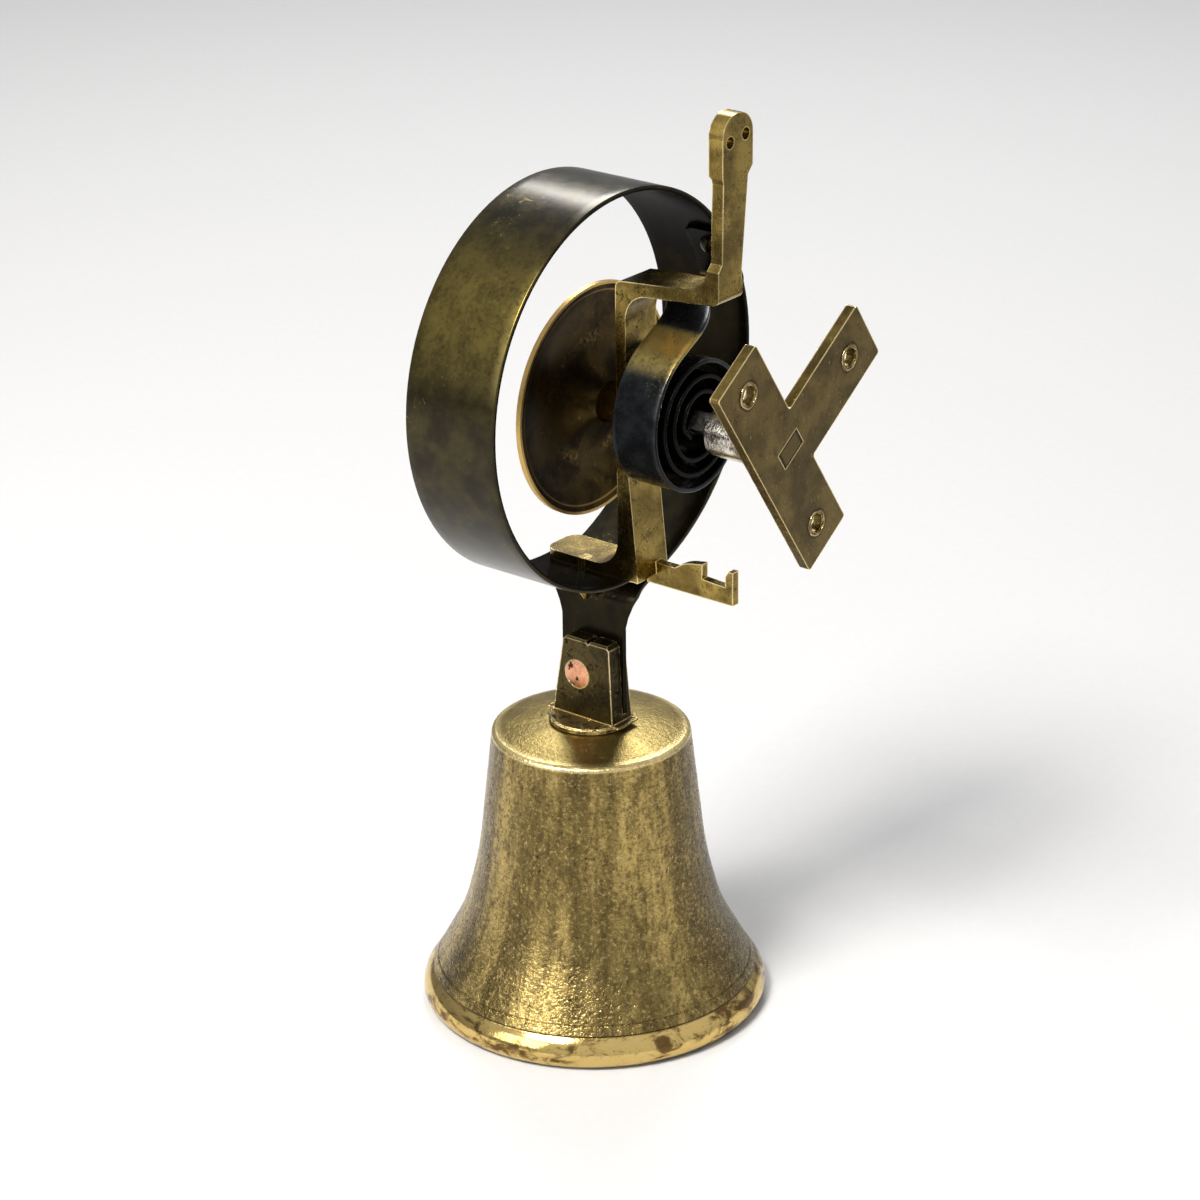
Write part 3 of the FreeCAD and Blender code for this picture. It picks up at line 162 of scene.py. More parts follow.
# %% A finish
class Finish:
    """A material with a Principled shader, built up one node at a time."""

    def __init__(self, name):
        self.material = bpy.data.materials.new(name)
        self.material.use_nodes = True
        self.tree = self.material.node_tree
        self.shader = self.tree.nodes["Principled BSDF"]
        self.splits = {}

    def feed(self, socket, value):
        if isinstance(value, Wire):
            self.tree.links.new(value.socket, socket)
        else:
            socket.default_value = value

    def node(self, kind, settings, inputs, out=0):
        made = self.tree.nodes.new(kind)
        for key, value in settings.items():
            setattr(made, key, value)
        for key, value in inputs.items():
            self.feed(made.inputs[key], value)
        return Wire(self, made.outputs[out])

    def split(self, wire):
        """The node that takes a place apart, made once for each place."""
        key = wire.socket.as_pointer()
        if key not in self.splits:
            made = self.tree.nodes.new("ShaderNodeSeparateXYZ")
            self.tree.links.new(wire.socket, made.inputs[0])
            self.splits[key] = made
        return self.splits[key]

    def place(self):
        """Where the point is on the object, in metres, before anything moves."""
        return self.node("ShaderNodeTexCoord", {}, {}, "Object")

    def away(self, place, x=0.0, z=0.0):
        """How far the point is, in millimetres, from the line along Y through x and z."""
        return ((place.mm("X") - x) ** 2 + (place.mm("Z") - z) ** 2) ** 0.5

    def noise(self, place, mm, detail, rough, warp=0.0):
        """Clouds whose blotches are about this many millimetres across, from 0 to 1."""
        return self.node("ShaderNodeTexNoise", {}, {
            "Vector": place, "Scale": PER_METRE / mm, "Detail": detail,
            "Roughness": rough, "Distortion": warp})

    def stretch(self, place, x, y, z):
        """The same place with its axes squeezed, which draws noise out into streaks."""
        return self.node("ShaderNodeMapping", {}, {"Vector": place, "Scale": (x, y, z)})

    def blend(self, factor, first, second):
        """A colour between two colours."""
        made = self.tree.nodes.new("ShaderNodeMix")
        made.data_type = "RGBA"
        self.feed(made.inputs[0], factor)
        for socket, value in ((made.inputs[6], first), (made.inputs[7], second)):
            self.feed(socket, value if isinstance(value, Wire) else (*value, 1.0))
        return Wire(self, made.outputs[2])

    def edges(self, mm, gain):
        """1 on the rounded-over edges of a piece and 0 on its faces."""
        soft = self.node("ShaderNodeBevel", {"samples": 8}, {"Radius": mm * MM})
        flat = self.node("ShaderNodeNewGeometry", {}, {}, "Normal")
        facing = self.node("ShaderNodeVectorMath", {"operation": "DOT_PRODUCT"},
                           {0: soft, 1: flat}, "Value")
        return ((1 - facing) * gain).clamp()

    def bump(self, height, mm, **under):
        """Turn a height from 0 to 1 into relief this deep; Normal=relief lays it over relief."""
        return self.node("ShaderNodeBump", {}, {"Height": height, "Distance": mm * MM, **under})

    def surface(self, **values):
        """Feed the shader: Base_Color goes to its socket Base Color, and so on."""
        for key, value in values.items():
            if isinstance(value, tuple):
                value = (*value, 1.0)
            self.feed(self.shader.inputs[key.replace("_", " ")], value)
        return self.material

    def now(self, name):
        """What feeds this socket of the shader already."""
        return Wire(self, self.shader.inputs[name].links[0].from_socket)


print("a finish can:", ", ".join(name for name in vars(Finish) if not name.startswith("_")))

# %% [markdown]
# A node of the frame gets its finish by name, and a mesh of our own gets it when it's made.

# %% Dressing a piece
def paint(material, *names):
    for name in names:
        mesh = nodes[name].data
        mesh.materials.clear()
        mesh.materials.append(material)
    print(material.name, "->", ", ".join(names))


def new_mesh(name, verts, faces, material):
    """A smooth object from corners in metres."""
    mesh = bpy.data.meshes.new(name)
    mesh.from_pydata(verts, [], faces)
    mesh.validate()
    mesh.materials.append(material)
    mesh.shade_smooth()
    made = bpy.data.objects.new(name, mesh)
    bpy.context.scene.collection.objects.link(made)
    print(name, "has", len(mesh.vertices), "vertices")
    return made


# %% [markdown]
# The castings are yellow brass that was once lacquered bright and has gone olive. Three
# layers do it: a broad drift between gold and green-brown, a fine dark freckle where tarnish
# sits in the casting's pores, and bright edges, which are partly metal where hands and polish
# reach and partly a painted highlight. Tarnish is also rougher than metal, so the same masks
# drive the roughness.

# %% Cast and filed brass
GLINT = (0.92, 0.74, 0.36)


def old_brass(name, bright, olive, dark, rough, pore, rub_and_glint, relief):
    """pore darkens the pores, the edge gain brightens edges (wear and painted highlight), relief
    is the bumps' depth in mm.
    """
    made = Finish(name)
    place = made.place()
    drift = made.noise(place, mm=13, detail=3, rough=0.6, warp=0.4).step(0.36, 0.64)
    cloud = made.noise(place, mm=3.6, detail=5, rough=0.62, warp=0.3)
    freckle = made.noise(place, mm=0.7, detail=4, rough=0.7)
    pores = (freckle * 0.6 + cloud * 0.4).step(0.48, 0.35) * pore
    # Bright edges: partly wear, partly a painted highlight.
    wear_and_glint = (made.edges(0.6, 3.4 * rub_and_glint) * (0.45 + cloud * 1.1)).clamp()
    scratch = made.noise(made.stretch(place, 1.0, 6.0, 0.25), mm=0.4, detail=2, rough=0.5)
    colour = made.blend(drift, bright, olive)
    colour = made.blend((pores + cloud.step(0.52, 0.72) * 0.45).clamp(), colour, dark)
    colour = made.blend(wear_and_glint, colour, GLINT)
    colour = made.blend(scratch.step(0.66, 0.74) * 0.35, colour, GLINT)
    gloss = (rough + pores * 0.3 + (freckle - 0.5) * 0.2 - wear_and_glint * 0.12).clamp()
    height = cloud * 0.5 + freckle * 0.35 + scratch * 0.25 - pores * 0.5
    made.surface(Base_Color=colour, Metallic=1.0, Roughness=gloss,
                 Normal=made.bump(height, relief))
    return made


cast = old_brass("cast_brass", (0.37, 0.262, 0.070), (0.135, 0.092, 0.024),
                 (0.03, 0.020, 0.008), rough=0.24, pore=0.8, rub_and_glint=1.4, relief=0.018)
paint(cast.material, "carriage", "spindle_nut")
# Painted light: the foot's rivet and collar sit in the ribbon's shadow, so their brass is lighter.
brightened = old_brass("brightened_brass", (0.62, 0.47, 0.17), (0.40, 0.29, 0.09),
                   (0.12, 0.08, 0.03), rough=0.22, pore=0.6, rub_and_glint=1.0, relief=0.03)
paint(brightened.material, "foot_rivet", "foot_collar")

# %% [markdown]
# The shank is the same brass left as it came from the sand, so it's darker and rougher. Its
# round flange is lighter in patches. We find the flange by its height, which is measured from
# the spindle down.

# %% The shank
FLANGE_TOP = -80.2
shank = old_brass("shank_brass", (0.085, 0.063, 0.021), (0.030, 0.022, 0.009),
                  (0.006, 0.004, 0.002), rough=0.32, pore=1.3, rub_and_glint=2.2, relief=0.30)
place = shank.place()
flange = place.mm("Z").step(FLANGE_TOP, FLANGE_TOP - 0.4)
bright_patches = shank.noise(place, mm=3.0, detail=3, rough=0.6, warp=0.4).step(0.40, 0.52)
# The flange is made lighter in patches.
tone = shank.blend(flange * bright_patches * 0.8, shank.now("Base Color"), (0.50, 0.38, 0.15))
paint(shank.surface(Base_Color=tone), "bell_shank")

# %% [markdown]
# The wall plate is sheet brass, browner and duller than the castings. Driving the screws has
# raised a burr round each hole, so we draw a ring about each hole's centre: a painted highlight
# on the crest, dark outside it. The same ring lifts the surface a little.

# %% Sheet brass
HOLES = ((16.221, 17.495), (-10.445, -21.45), (-22.773, 15.593))
CREST, DITCH = 2.85, 3.5
plate = old_brass("plate_brass", (0.16, 0.112, 0.033), (0.078, 0.053, 0.016),
                  (0.025, 0.016, 0.007), rough=0.28, pore=0.5, rub_and_glint=1.9, relief=0.06)
place = plate.place()
crest, ditch = None, None
for x, z in HOLES:
    wobble = (plate.noise(place, mm=2.5, detail=2, rough=0.5) - 0.5) * 0.9
    away = plate.away(place, x, z) + wobble
    near, far = away.band(CREST, 0.15, 0.5), away.band(DITCH, 0.1, 0.45)
    crest = near if crest is None else crest.most(near)
    ditch = far if ditch is None else ditch.most(far)
tone = plate.blend((ditch * 0.7).clamp(), plate.now("Base Color"), (0.035, 0.022, 0.010))
# A painted highlight on each burr's crest.
tone = plate.blend((crest * 0.35).clamp(), tone, (0.50, 0.37, 0.15))
ridge = plate.bump(crest, 0.25, Normal=plate.now("Normal"))
plate_metal = plate.surface(Base_Color=tone, Normal=ridge)
paint(plate_metal, "wall_plate")

# %% [markdown]
# A burr catches the light because it really stands up, so each one is also a low ring of
# metal, a third of a millimetre high. Two slow waves round the ring keep it from looking
# turned. It goes with the plate, so it rides on the same body.

# %% Burrs round the screw holes
BURR = ((2.34, -0.05), (2.45, 0.24), (2.75, 0.33), (3.15, 0.15), (3.45, -0.05))
AROUND = 64


def burr(name, x, z, phase):
    """An uneven ring about a hole; BURR is its section, as radius and rise off the plate."""
    verts, faces, rows = [], [], len(BURR)
    for k in range(AROUND):
        angle = math.tau * k / AROUND
        wave = 1 + 0.28 * math.sin(3 * angle + phase) + 0.16 * math.sin(7 * angle + 2 * phase)
        sway = 0.12 * math.sin(2 * angle + phase)
        for radius, rise in BURR:
            far = radius + (sway if radius > 2.5 else 0)
            verts.append(((x + far * math.cos(angle)) * MM,
                          (rise * wave if rise > 0 else rise) * MM,
                          (z + far * math.sin(angle)) * MM))
        for j in range(rows):
            a, b = k * rows + j, k * rows + (j + 1) % rows
            c, d = (b + rows) % (AROUND * rows), (a + rows) % (AROUND * rows)
            faces.append((a, b, c, d))
    made = new_mesh(name, verts, faces, plate_metal)
    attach(made, "wall_mount")


for number, (x, z) in enumerate(HOLES):
    burr("burr_%d" % (number + 1), x, z, 1.7 * number)

# %% [markdown]
# The bell itself was cast and left rough, so light breaks up on it into short upright
# streaks; we paint those streaks into its colour as painted reflections. Its lip was turned
# smooth and has been rubbed for a century: it's the brightest metal on the object. We tell the
# parts apart by height above the mouth. The painted streaks come from noise that is looked up
# by direction from the bell's axis, and hardly by height.

# %% The parts of the bell
MOUTH = -0.156
BELL_X, BELL_Y = 0.0032, -0.0567
LIP_TOP, GROOVE, LINE, SHOULDER = 7.7, 7.95, 10.45, 71.5
bell = Finish("bell_brass")
place = bell.place()
rise = (place.axis("Z") - MOUTH) * PER_METRE
lip = 1 - rise.step(LIP_TOP - 0.2, LIP_TOP + 0.2)
wall = 1 - lip
top = rise.step(SHOULDER - 0.1, SHOULDER + 0.5)
groove = rise.band(GROOVE, 0.1, 0.4) + rise.band(LINE, 0.05, 0.3) * 0.35
shoulder = rise.band(SHOULDER, 0.35, 1.0) * 0.75
side, front = place.axis("X") - BELL_X, place.axis("Y") - BELL_Y
out_from_axis = (side ** 2 + front ** 2) ** 0.5
upright = bell.node("ShaderNodeCombineXYZ", {}, {
    0: side / out_from_axis * 0.03, 1: front / out_from_axis * 0.03,
    2: place.axis("Z") * 0.10})
print("mouth at Z", MOUTH, "and shoulder", SHOULDER, "mm above it")

# %% [markdown]
# Sand leaves a grain, and larger chips have fallen out of the skin in places. Dirt has stayed
# in both. So the wall is gold and brown in upright bands, which are painted reflections,
# darkened by the mottle, the dust and the chips, with painted highlights where the grain
# stands proud.

# %% The rough wall
# The upright bands and dark streaks are painted reflections, looked up by direction.
band = bell.noise(upright, mm=8, detail=2, rough=0.5, warp=0.1).step(0.36, 0.64)
streak = bell.noise(upright, mm=2.2, detail=4, rough=0.6).step(0.40, 0.66)
cloud = bell.noise(place, mm=9, detail=4, rough=0.6, warp=0.4)
sand = bell.noise(place, mm=0.9, detail=2, rough=0.65)
mottle = bell.noise(bell.stretch(place, 1.0, 1.0, 0.5), mm=2.4, detail=5, rough=0.72)
chips = (bell.noise(place, mm=1.6, detail=4, rough=0.7).step(0.39, 0.34)
         * cloud.step(0.50, 0.60) * wall)
dust = sand.step(0.48, 0.34) * (0.15 + cloud * 0.7) * wall * (1 - top * 0.6)
gold = bell.blend(band, (0.45, 0.325, 0.112), (0.165, 0.117, 0.041))
for amount, colour in ((streak * 0.5, (0.11, 0.080, 0.029)),
                       (mottle.step(0.52, 0.36) * 0.65, (0.07, 0.050, 0.019)),
                       (mottle.step(0.56, 0.68) * 0.35, (0.66, 0.50, 0.20)),
                       (top * 0.75, (0.20, 0.150, 0.042)),
                       (dust.clamp(), (0.055, 0.040, 0.016)),
                       # Painted highlights: bright points where the grain stands proud.
                       (sand.step(0.56, 0.70) * 0.40 * (1 - top), (0.70, 0.55, 0.25)),
                       ((chips * 0.9).clamp(), (0.02, 0.015, 0.008))):
    gold = bell.blend(amount, gold, colour)
print("the wall has", len(bell.tree.nodes), "nodes so far")

# %% [markdown]
# The lip is smooth brass blotched with brown. Above it lie a groove and a fine line that old
# polish has turned dark. The shoulder is an edge, and its glint is a painted highlight.

# %% The lip, the groove and the shoulder
blotch = bell.noise(bell.stretch(place, 1.0, 1.0, 2.2), mm=9.0, detail=5, rough=0.68, warp=0.6)
polished = bell.blend(blotch.step(0.46, 0.60), (0.66, 0.48, 0.17), (0.15, 0.085, 0.03))
polished = bell.blend(blotch.step(0.42, 0.32) * 0.5, polished, (0.72, 0.50, 0.28))
polished = bell.blend(sand.step(0.62, 0.72) * 0.5, polished, (0.08, 0.05, 0.02))
gold = bell.blend(lip, gold, polished)
# A painted highlight along the shoulder's edge.
gold = bell.blend((shoulder * (0.35 + sand)).clamp(), gold, GLINT)
gold = bell.blend((groove * 0.7).clamp(), gold, (0.05, 0.035, 0.016))
gloss = (0.25 + dust * 0.25 + chips * 0.3 + (cloud - 0.5) * 0.2 - lip * 0.13
         + lip * blotch.step(0.5, 0.66) * 0.14 + groove * 0.2 + top * 0.10).clamp()
height = (sand * 0.7 + mottle * 0.7 - chips * 0.5) * (1 - lip * 0.93) * (1 - top * 0.6)
bell_metal = bell.surface(Base_Color=gold, Metallic=1.0, Roughness=gloss,
                          Normal=bell.bump(height, 0.36))
paint(bell_metal, "bell_cup")

# %% [markdown]
# The cover disc was spun from thin brass. We look into its hollow back, which no one has
# polished: it's brown, with faint turning rings about its centre and dark smears. Its thin rim
# shows as a bright line and a ring near the hub shines; both are painted highlights.

# %% Spun brass
RIM, HEM, RIDGE = 27.6, 26.1, 14.6
disc = Finish("disc_brass")
place = disc.place()
ring = disc.away(place)
by_radius = disc.node("ShaderNodeCombineXYZ", {}, {0: ring * MM, 1: 0.0, 2: 0.0})
turning = disc.noise(by_radius, mm=0.7, detail=2, rough=0.5)
stain = disc.noise(place, mm=9, detail=5, rough=0.65, warp=0.6)
fleck = disc.noise(place, mm=1.1, detail=4, rough=0.7)
# The rim's bright lines and the ring near the hub are painted highlights.
rim = ring.step(RIM - 0.25, RIM) + ring.band(HEM, 0.05, 0.35) * 0.35
wear_and_glint = ring.band(RIDGE, 0.3, 2.6) * stain.step(0.40, 0.75) * fleck.step(0.35, 0.65)
painted_highlight = ((rim * 1.3 + wear_and_glint * 0.5) * (0.5 + fleck * 0.5)).clamp()
tone = disc.blend(stain.step(0.38, 0.62), (0.066, 0.041, 0.011), (0.022, 0.015, 0.005))
tone = disc.blend(fleck.step(0.60, 0.72) * 0.4, tone, (0.30, 0.20, 0.07))
tone = disc.blend(painted_highlight, tone, (0.70, 0.46, 0.15))
# A painted glint on the rim's edges.
tone = disc.blend((disc.edges(0.4, 3.0) * rim).clamp(), tone, GLINT)
gloss = (0.40 + (stain - 0.5) * 0.3 + (turning - 0.5) * 0.12 - rim * 0.06).clamp()
spun = disc.surface(Base_Color=tone, Metallic=1.0, Roughness=gloss,
                    Normal=disc.bump(turning * 0.4 + stain * 0.4 + fleck * 0.2, 0.05))
paint(spun, "cover_disc")

# %% [markdown]
# Steel, copper and iron come next. The rivet through the shank is bare copper, hammered
# almost flat and nicked. The nut, washer and clapper inside the bell are dark wrought iron
# with a little rust in their hollows. One helper serves them and the spindle.

# %% Pale metal, copper and iron
def plain_metal(name, light, shade, rough, mm, relief, metal=1.0):
    """Clouds of mm across between two colours; the grain is kept for later blends."""
    made = Finish(name)
    place = made.place()
    cloud = made.noise(place, mm=mm, detail=4, rough=0.6, warp=0.3)
    made.grain = made.noise(place, mm=mm * 0.22, detail=4, rough=0.7)
    edge = made.edges(0.35, 3.0) * (0.4 + made.grain * 0.6)
    colour = made.blend((cloud * 0.6 + made.grain * 0.4).step(0.36, 0.6), shade, light)
    colour = made.blend(edge, colour, tuple(min(1.0, c * 1.3 + 0.03) for c in light))
    gloss = (rough + (made.grain - 0.5) * 0.25 + (0.5 - cloud) * 0.2).clamp()
    made.surface(Base_Color=colour, Metallic=metal, Roughness=gloss,
                 Normal=made.bump(cloud * 0.6 + made.grain * 0.4, relief))
    return made


copper = plain_metal("copper", (0.82, 0.42, 0.25), (0.55, 0.25, 0.14),
                     rough=0.32, mm=1.8, relief=0.06)
nick = copper.noise(copper.place(), mm=3.0, detail=2, rough=0.5).step(0.37, 0.34)
tone = copper.blend(nick, copper.now("Base Color"), (0.06, 0.03, 0.02))
paint(copper.surface(Base_Color=tone), "shank_rivet")
iron = plain_metal("wrought_iron", (0.16, 0.145, 0.13), (0.075, 0.05, 0.035),
                   rough=0.55, mm=1.6, relief=0.10, metal=0.85)
paint(iron.material, "crown_washer", "crown_nut", "clapper_staple", "clapper_rod",
      "clapper_ball")

# %% [markdown]
# The spindle changes along its length: silvery where the boss stands free, brown toward the
# plate, and brass at the tenon's hammered end, which fills a slot in the plate. A dark line
# follows the slot. We find it by turning the point into the plate's own leaning axes.

# %% The spindle
LEAN = math.radians(55.6)
TENON_SHORT, TENON_LONG = 4.8, 8.2
spindle = plain_metal("spindle_metal", (0.86, 0.81, 0.71), (0.13, 0.105, 0.07),
                      rough=0.13, mm=2.4, relief=0.10)
place = spindle.place()
deep = place.axis("Y") * -PER_METRE
along = place.mm("X") * math.cos(LEAN) + place.mm("Z") * math.sin(LEAN)
across = place.mm("Z") * math.cos(LEAN) - place.mm("X") * math.sin(LEAN)
border = (along.size() / (TENON_SHORT / 2)).most(across.size() / (TENON_LONG / 2))
brown = 1 - (deep + spindle.grain * 3.0).step(5.0, 11.0)
tenon = 1 - deep.step(1.5, 2.2)
outline = tenon * (border + spindle.grain * 0.25).step(0.84, 1.05)
tone = spindle.blend(brown, spindle.now("Base Color"), (0.20, 0.14, 0.05))
tone = spindle.blend(tenon, tone, (0.105, 0.074, 0.022))
tone = spindle.blend(outline.clamp(), tone, (0.02, 0.014, 0.008))
paint(spindle.surface(Base_Color=tone), "spindle")

# %% [markdown]
# Both springs are strips of steel that were fired black. The blacking has gone from the
# places that rub and shows a dull gold-brown there: in worn patches on the outside of the
# loop and in a thin line along every edge. The coil's blacking is newer and reflects a little
# blue. Between the coil's turns, inside the loop and on the neck the colour is darkened as
# painted shade, and the shader's Specular Tint goes dark there too, so that even a glancing
# reflection is dim.

# %% Blackened spring steel
LOOP_X, LOOP_Z = 4.5, 5.7
INNER_SHADE, HOLLOW_SHADE, WORN_EDGE = (0.006, 0.006, 0.006), (0.006, 0.005, 0.003), (0.42, 0.31, 0.11)
WHITE, DIM = (1.0, 1.0, 1.0), (0.15, 0.14, 0.12)


def black_steel(name, base, sheen, patch, rough, brightened):
    """The last argument takes the finish and the place and gives where the blacking gives way to
    the patch colour.
    """
    made = Finish(name)
    place = made.place()
    broad = made.noise(place, mm=26, detail=3, rough=0.6, warp=0.5)
    speck = made.noise(place, mm=1.1, detail=5, rough=0.75)
    cloud = made.noise(place, mm=5.5, detail=4, rough=0.6)
    dots = (broad * 0.5 + speck * 0.5).step(0.60, 0.66)
    edge = made.edges(0.22, 4.0) * speck.step(0.40, 0.60)
    wear_and_glint = (brightened(made, place) * (speck * 0.7 + cloud * 0.3).step(0.22, 0.58)).clamp()
    open_air = made.away(place).step(14.0, 15.2)
    far = made.away(place, LOOP_X, LOOP_Z)
    hollow = far.step(44.0, 46.0) * (1 - far.step(47.5, 47.9))
    neck = place.mm("Z").step(-45.0, -52.0)
    shade = hollow.most(neck * 0.8).most((1 - open_air) * 0.5)
    colour = made.blend(cloud.step(0.35, 0.7), base, sheen)
    colour = made.blend((wear_and_glint * 0.85).clamp(), colour, patch)
    colour = made.blend(((dots * 0.55 + edge * 0.75) * open_air).clamp(), colour, WORN_EDGE)
    # Painted shade: the coil's inner turns, the inside of the loop and the neck go dark.
    colour = made.blend(open_air, INNER_SHADE, colour)
    colour = made.blend(hollow.most(neck) * 0.7, colour, HOLLOW_SHADE)
    gloss = (rough + (speck - 0.5) * 0.16 + (cloud - 0.5) * 0.14 + wear_and_glint * 0.06).clamp()
    made.surface(Base_Color=colour, Metallic=(0.8 + wear_and_glint * 0.2 + edge * 0.2).clamp(),
                 Roughness=gloss, Specular_Tint=made.blend(shade, WHITE, DIM),
                 Normal=made.bump(speck * 0.5 + cloud * 0.5, 0.02))
    return made.material


# %% [markdown]
# The loop has worn on its shoulder, outside, and the coil is coloured gold on the top of its
# outer turn. Both masks are places: an angle about the loop's axis, and a height above the
# spindle.

# %% Where each spring shows gold
def loop_wear(made, place):
    """A smooth band on the loop's shoulder, outside."""
    angle = place.maths("ARCTAN2", place.mm("Z") - LOOP_Z, place.mm("X") - LOOP_X)
    outside = made.away(place, LOOP_X, LOOP_Z).step(47.6, 47.9)
    return angle.band(0.62, 0.10, 0.55) * outside * 0.75


def coil_top_gold(made, place):
    """The top of the outer turn, where the coil is coloured gold."""
    high = place.mm("Z")
    crown = high.step(13.0, 18.5) * (1 - high.step(21.0, 22.2))
    return made.away(place).step(15.3, 15.9) * crown * 1.3


loop_black = black_steel("loop_black", (0.016, 0.013, 0.006), (0.040, 0.032, 0.011),
                         (0.15, 0.115, 0.030), rough=0.24, brightened=loop_wear)
coil_black = black_steel("coil_black", (0.010, 0.011, 0.012), (0.026, 0.030, 0.034),
                         (0.50, 0.38, 0.12), rough=0.26, brightened=coil_top_gold)
paint(loop_black, "coil_rivet")

# %% [markdown]
# The two springs must bend when the bell moves, so we make our own meshes for them. We draw
# the line of a strip as a pen would: turn through an arc, run straight, turn again. Each stop
# of the pen gives one cross-section.

# %% A pen for bent strips
class Pen:
    """Walks a line in the XZ plane in millimetres and remembers a station at every step."""

    def __init__(self, x, z, heading):
        self.x, self.z, self.heading, self.gone = x, z, heading, 0.0
        self.stations = [(x, z, heading, 0.0)]

    def move(self, chord, length):
        self.x += math.cos(math.radians(self.heading)) * chord
        self.z += math.sin(math.radians(self.heading)) * chord
        self.gone += length

    def stop(self):
        self.stations.append((self.x, self.z, self.heading, self.gone))

    def run(self, length, steps=1):
        for _ in range(steps):
            self.move(length / steps, length / steps)
            self.stop()

    def arc(self, radius, angle, every=3.0):
        steps = max(2, int(abs(angle) / every))
        part = angle / steps
        swept = math.radians(abs(part))
        for _ in range(steps):
            self.heading += part / 2
            self.move(2 * radius * math.sin(swept / 2), radius * swept)
            self.heading += part / 2
            self.stop()


# %% [markdown]
# The cross-section is a small rectangle with rounded corners. Its long sides have a row of
# points in between, so that the strip can bend across its width as well.

# %% A strip along the pen's line
SOFT, COLUMNS = 0.28, 10


def strip(name, stations, thick, edges, material):
    """A mesh strip; edges(station) gives the Y of its wall side and of its front side."""
    half = thick / 2
    turns = [math.radians(30 * k) for k in range(4)]
    corners = ([(half - SOFT + SOFT * math.cos(t), SOFT * math.sin(t)) for t in turns]
               + [(SOFT - half - SOFT * math.sin(t), SOFT * math.cos(t)) for t in turns])
    shares = [k / COLUMNS for k in range(1, COLUMNS)]
    verts, faces = [], []
    for station in stations:
        x, z, heading, _ = station
        wall, front = edges(station)
        wide = wall - front - 2 * SOFT
        nx, nz = -math.sin(math.radians(heading)), math.cos(math.radians(heading))
        section = [(a, wall - SOFT + out) for a, out in corners]
        section += [(-half, wall - SOFT - wide * share) for share in shares]
        section += [(-a, front + SOFT - out) for a, out in corners]
        section += [(half, front + SOFT + wide * share) for share in shares]
        verts += [((x + nx * a) * MM, y * MM, (z + nz * a) * MM) for a, y in section]
    ring = len(verts) // len(stations)
    for i in range(len(stations) - 1):
        for k in range(ring):
            a, b = i * ring + k, i * ring + (k + 1) % ring
            faces.append((a, b, b + ring, a + ring))
    faces.append(tuple(reversed(range(ring))))
    faces.append(tuple(range(len(verts) - ring, len(verts))))
    made = new_mesh(name, verts, faces, material)
    made.data.set_sharp_from_angle(angle=math.radians(50))
    return made


# %% [markdown]
# The bell spring is one long ribbon. It starts under the carriage's foot, goes all the way
# round, opens out a little as it comes back, and turns down into the shank's slot. All
# lengths are millimetres and all angles degrees.

# %% The ribbon's line
LOOP_R, RIBBON, FRONT = 47.7, 1.2, -56.7
END, LEAVE, SLOPE, OPENING = 12.6, 75.0, 23.3, 4.3
NECK_X, BEND = 1.6, 6.0
CROWN, FLANGE, SLOT_FLOOR = -156.0 + 70.9 + 3.2, 1.5, 1.6
start = math.radians(-90 - END)
pen = Pen(LOOP_X + LOOP_R * math.cos(start), LOOP_Z + LOOP_R * math.sin(start), -END)
pen.arc(LOOP_R, 360 + END - LEAVE)
pen.arc(LOOP_R + OPENING, LEAVE - SLOPE)
slope = math.radians(SLOPE)
pen.run((NECK_X - pen.x - BEND * (1 - math.sin(slope))) / math.cos(slope), 4)
pen.arc(BEND, -(90 - SLOPE), 6.0)
neck_top = pen.z
pen.run(neck_top - (CROWN + FLANGE + SLOT_FLOOR) - 0.3, 10)
print("the ribbon is", round(pen.gone, 1), "mm long")

# %% [markdown]
# Below the loop the ribbon narrows to the shank's width, over 10 mm. The ribbon stands for
# the CAD node bell_spring. It belongs to the carriage above its neck and to the bell below.

# %% The ribbon
RIBBON_HALF, TAPER_HALF, NECK_HALF = 12.9, 13.9, 9.5
PAST_LOOP, TAPER_TALL, TAPER_ABOVE = 200.0, 10.0, 5.5


def ribbon_edges(station):
    """The ribbon's sides: full width in the loop, narrower on the way into the shank."""
    _, z, _, gone = station
    half = RIBBON_HALF
    if gone > PAST_LOOP:
        share = min(1.0, max(0.0, (neck_top + TAPER_ABOVE - z) / TAPER_TALL))
        half = min(RIBBON_HALF, TAPER_HALF + (NECK_HALF - TAPER_HALF) * share)
    return FRONT + half, FRONT - half


bell_ribbon = strip("bell_ribbon", pen.stations, RIBBON, ribbon_edges, loop_black)
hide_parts("bell_spring")
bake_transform(bell_ribbon)

# %% [markdown]
# The return coil is the same idea wound up: three turns, each quarter turn a little tighter
# than the last, ending flat on the spindle's square.

# %% The coil's turns
COIL, SEAT, SQUARE = 1.1, 0.04, 4.0
QUARTERS, GROWTH, INNERMOST, LIFT = 12, 0.9, 6.7, 0.6
inner_x = SQUARE + COIL / 2 + 0.2
outer_x = inner_x + QUARTERS * GROWTH
seat = SQUARE / math.sqrt(2) + COIL / 2 + SEAT
root = math.sqrt(0.5)
coil = Pen(outer_x, LIFT, -90)
for k in range(QUARTERS):
    coil.arc(INNERMOST + GROWTH * (QUARTERS - 1 - k), -90, 5.0)
coil.arc((seat - root * (inner_x - LIFT)) / (1 - root), -45, 9.0)
coil.run(3.2)
print("the turns take", round(coil.gone, 1), "mm of strip")

# %% [markdown]
# Its outer end leaves the coil, bows over it, meets the loop from inside and lies along it as
# far as the rivet. We work out where the straight run reaches the bend, so that the bend
# touches both the run and the loop.

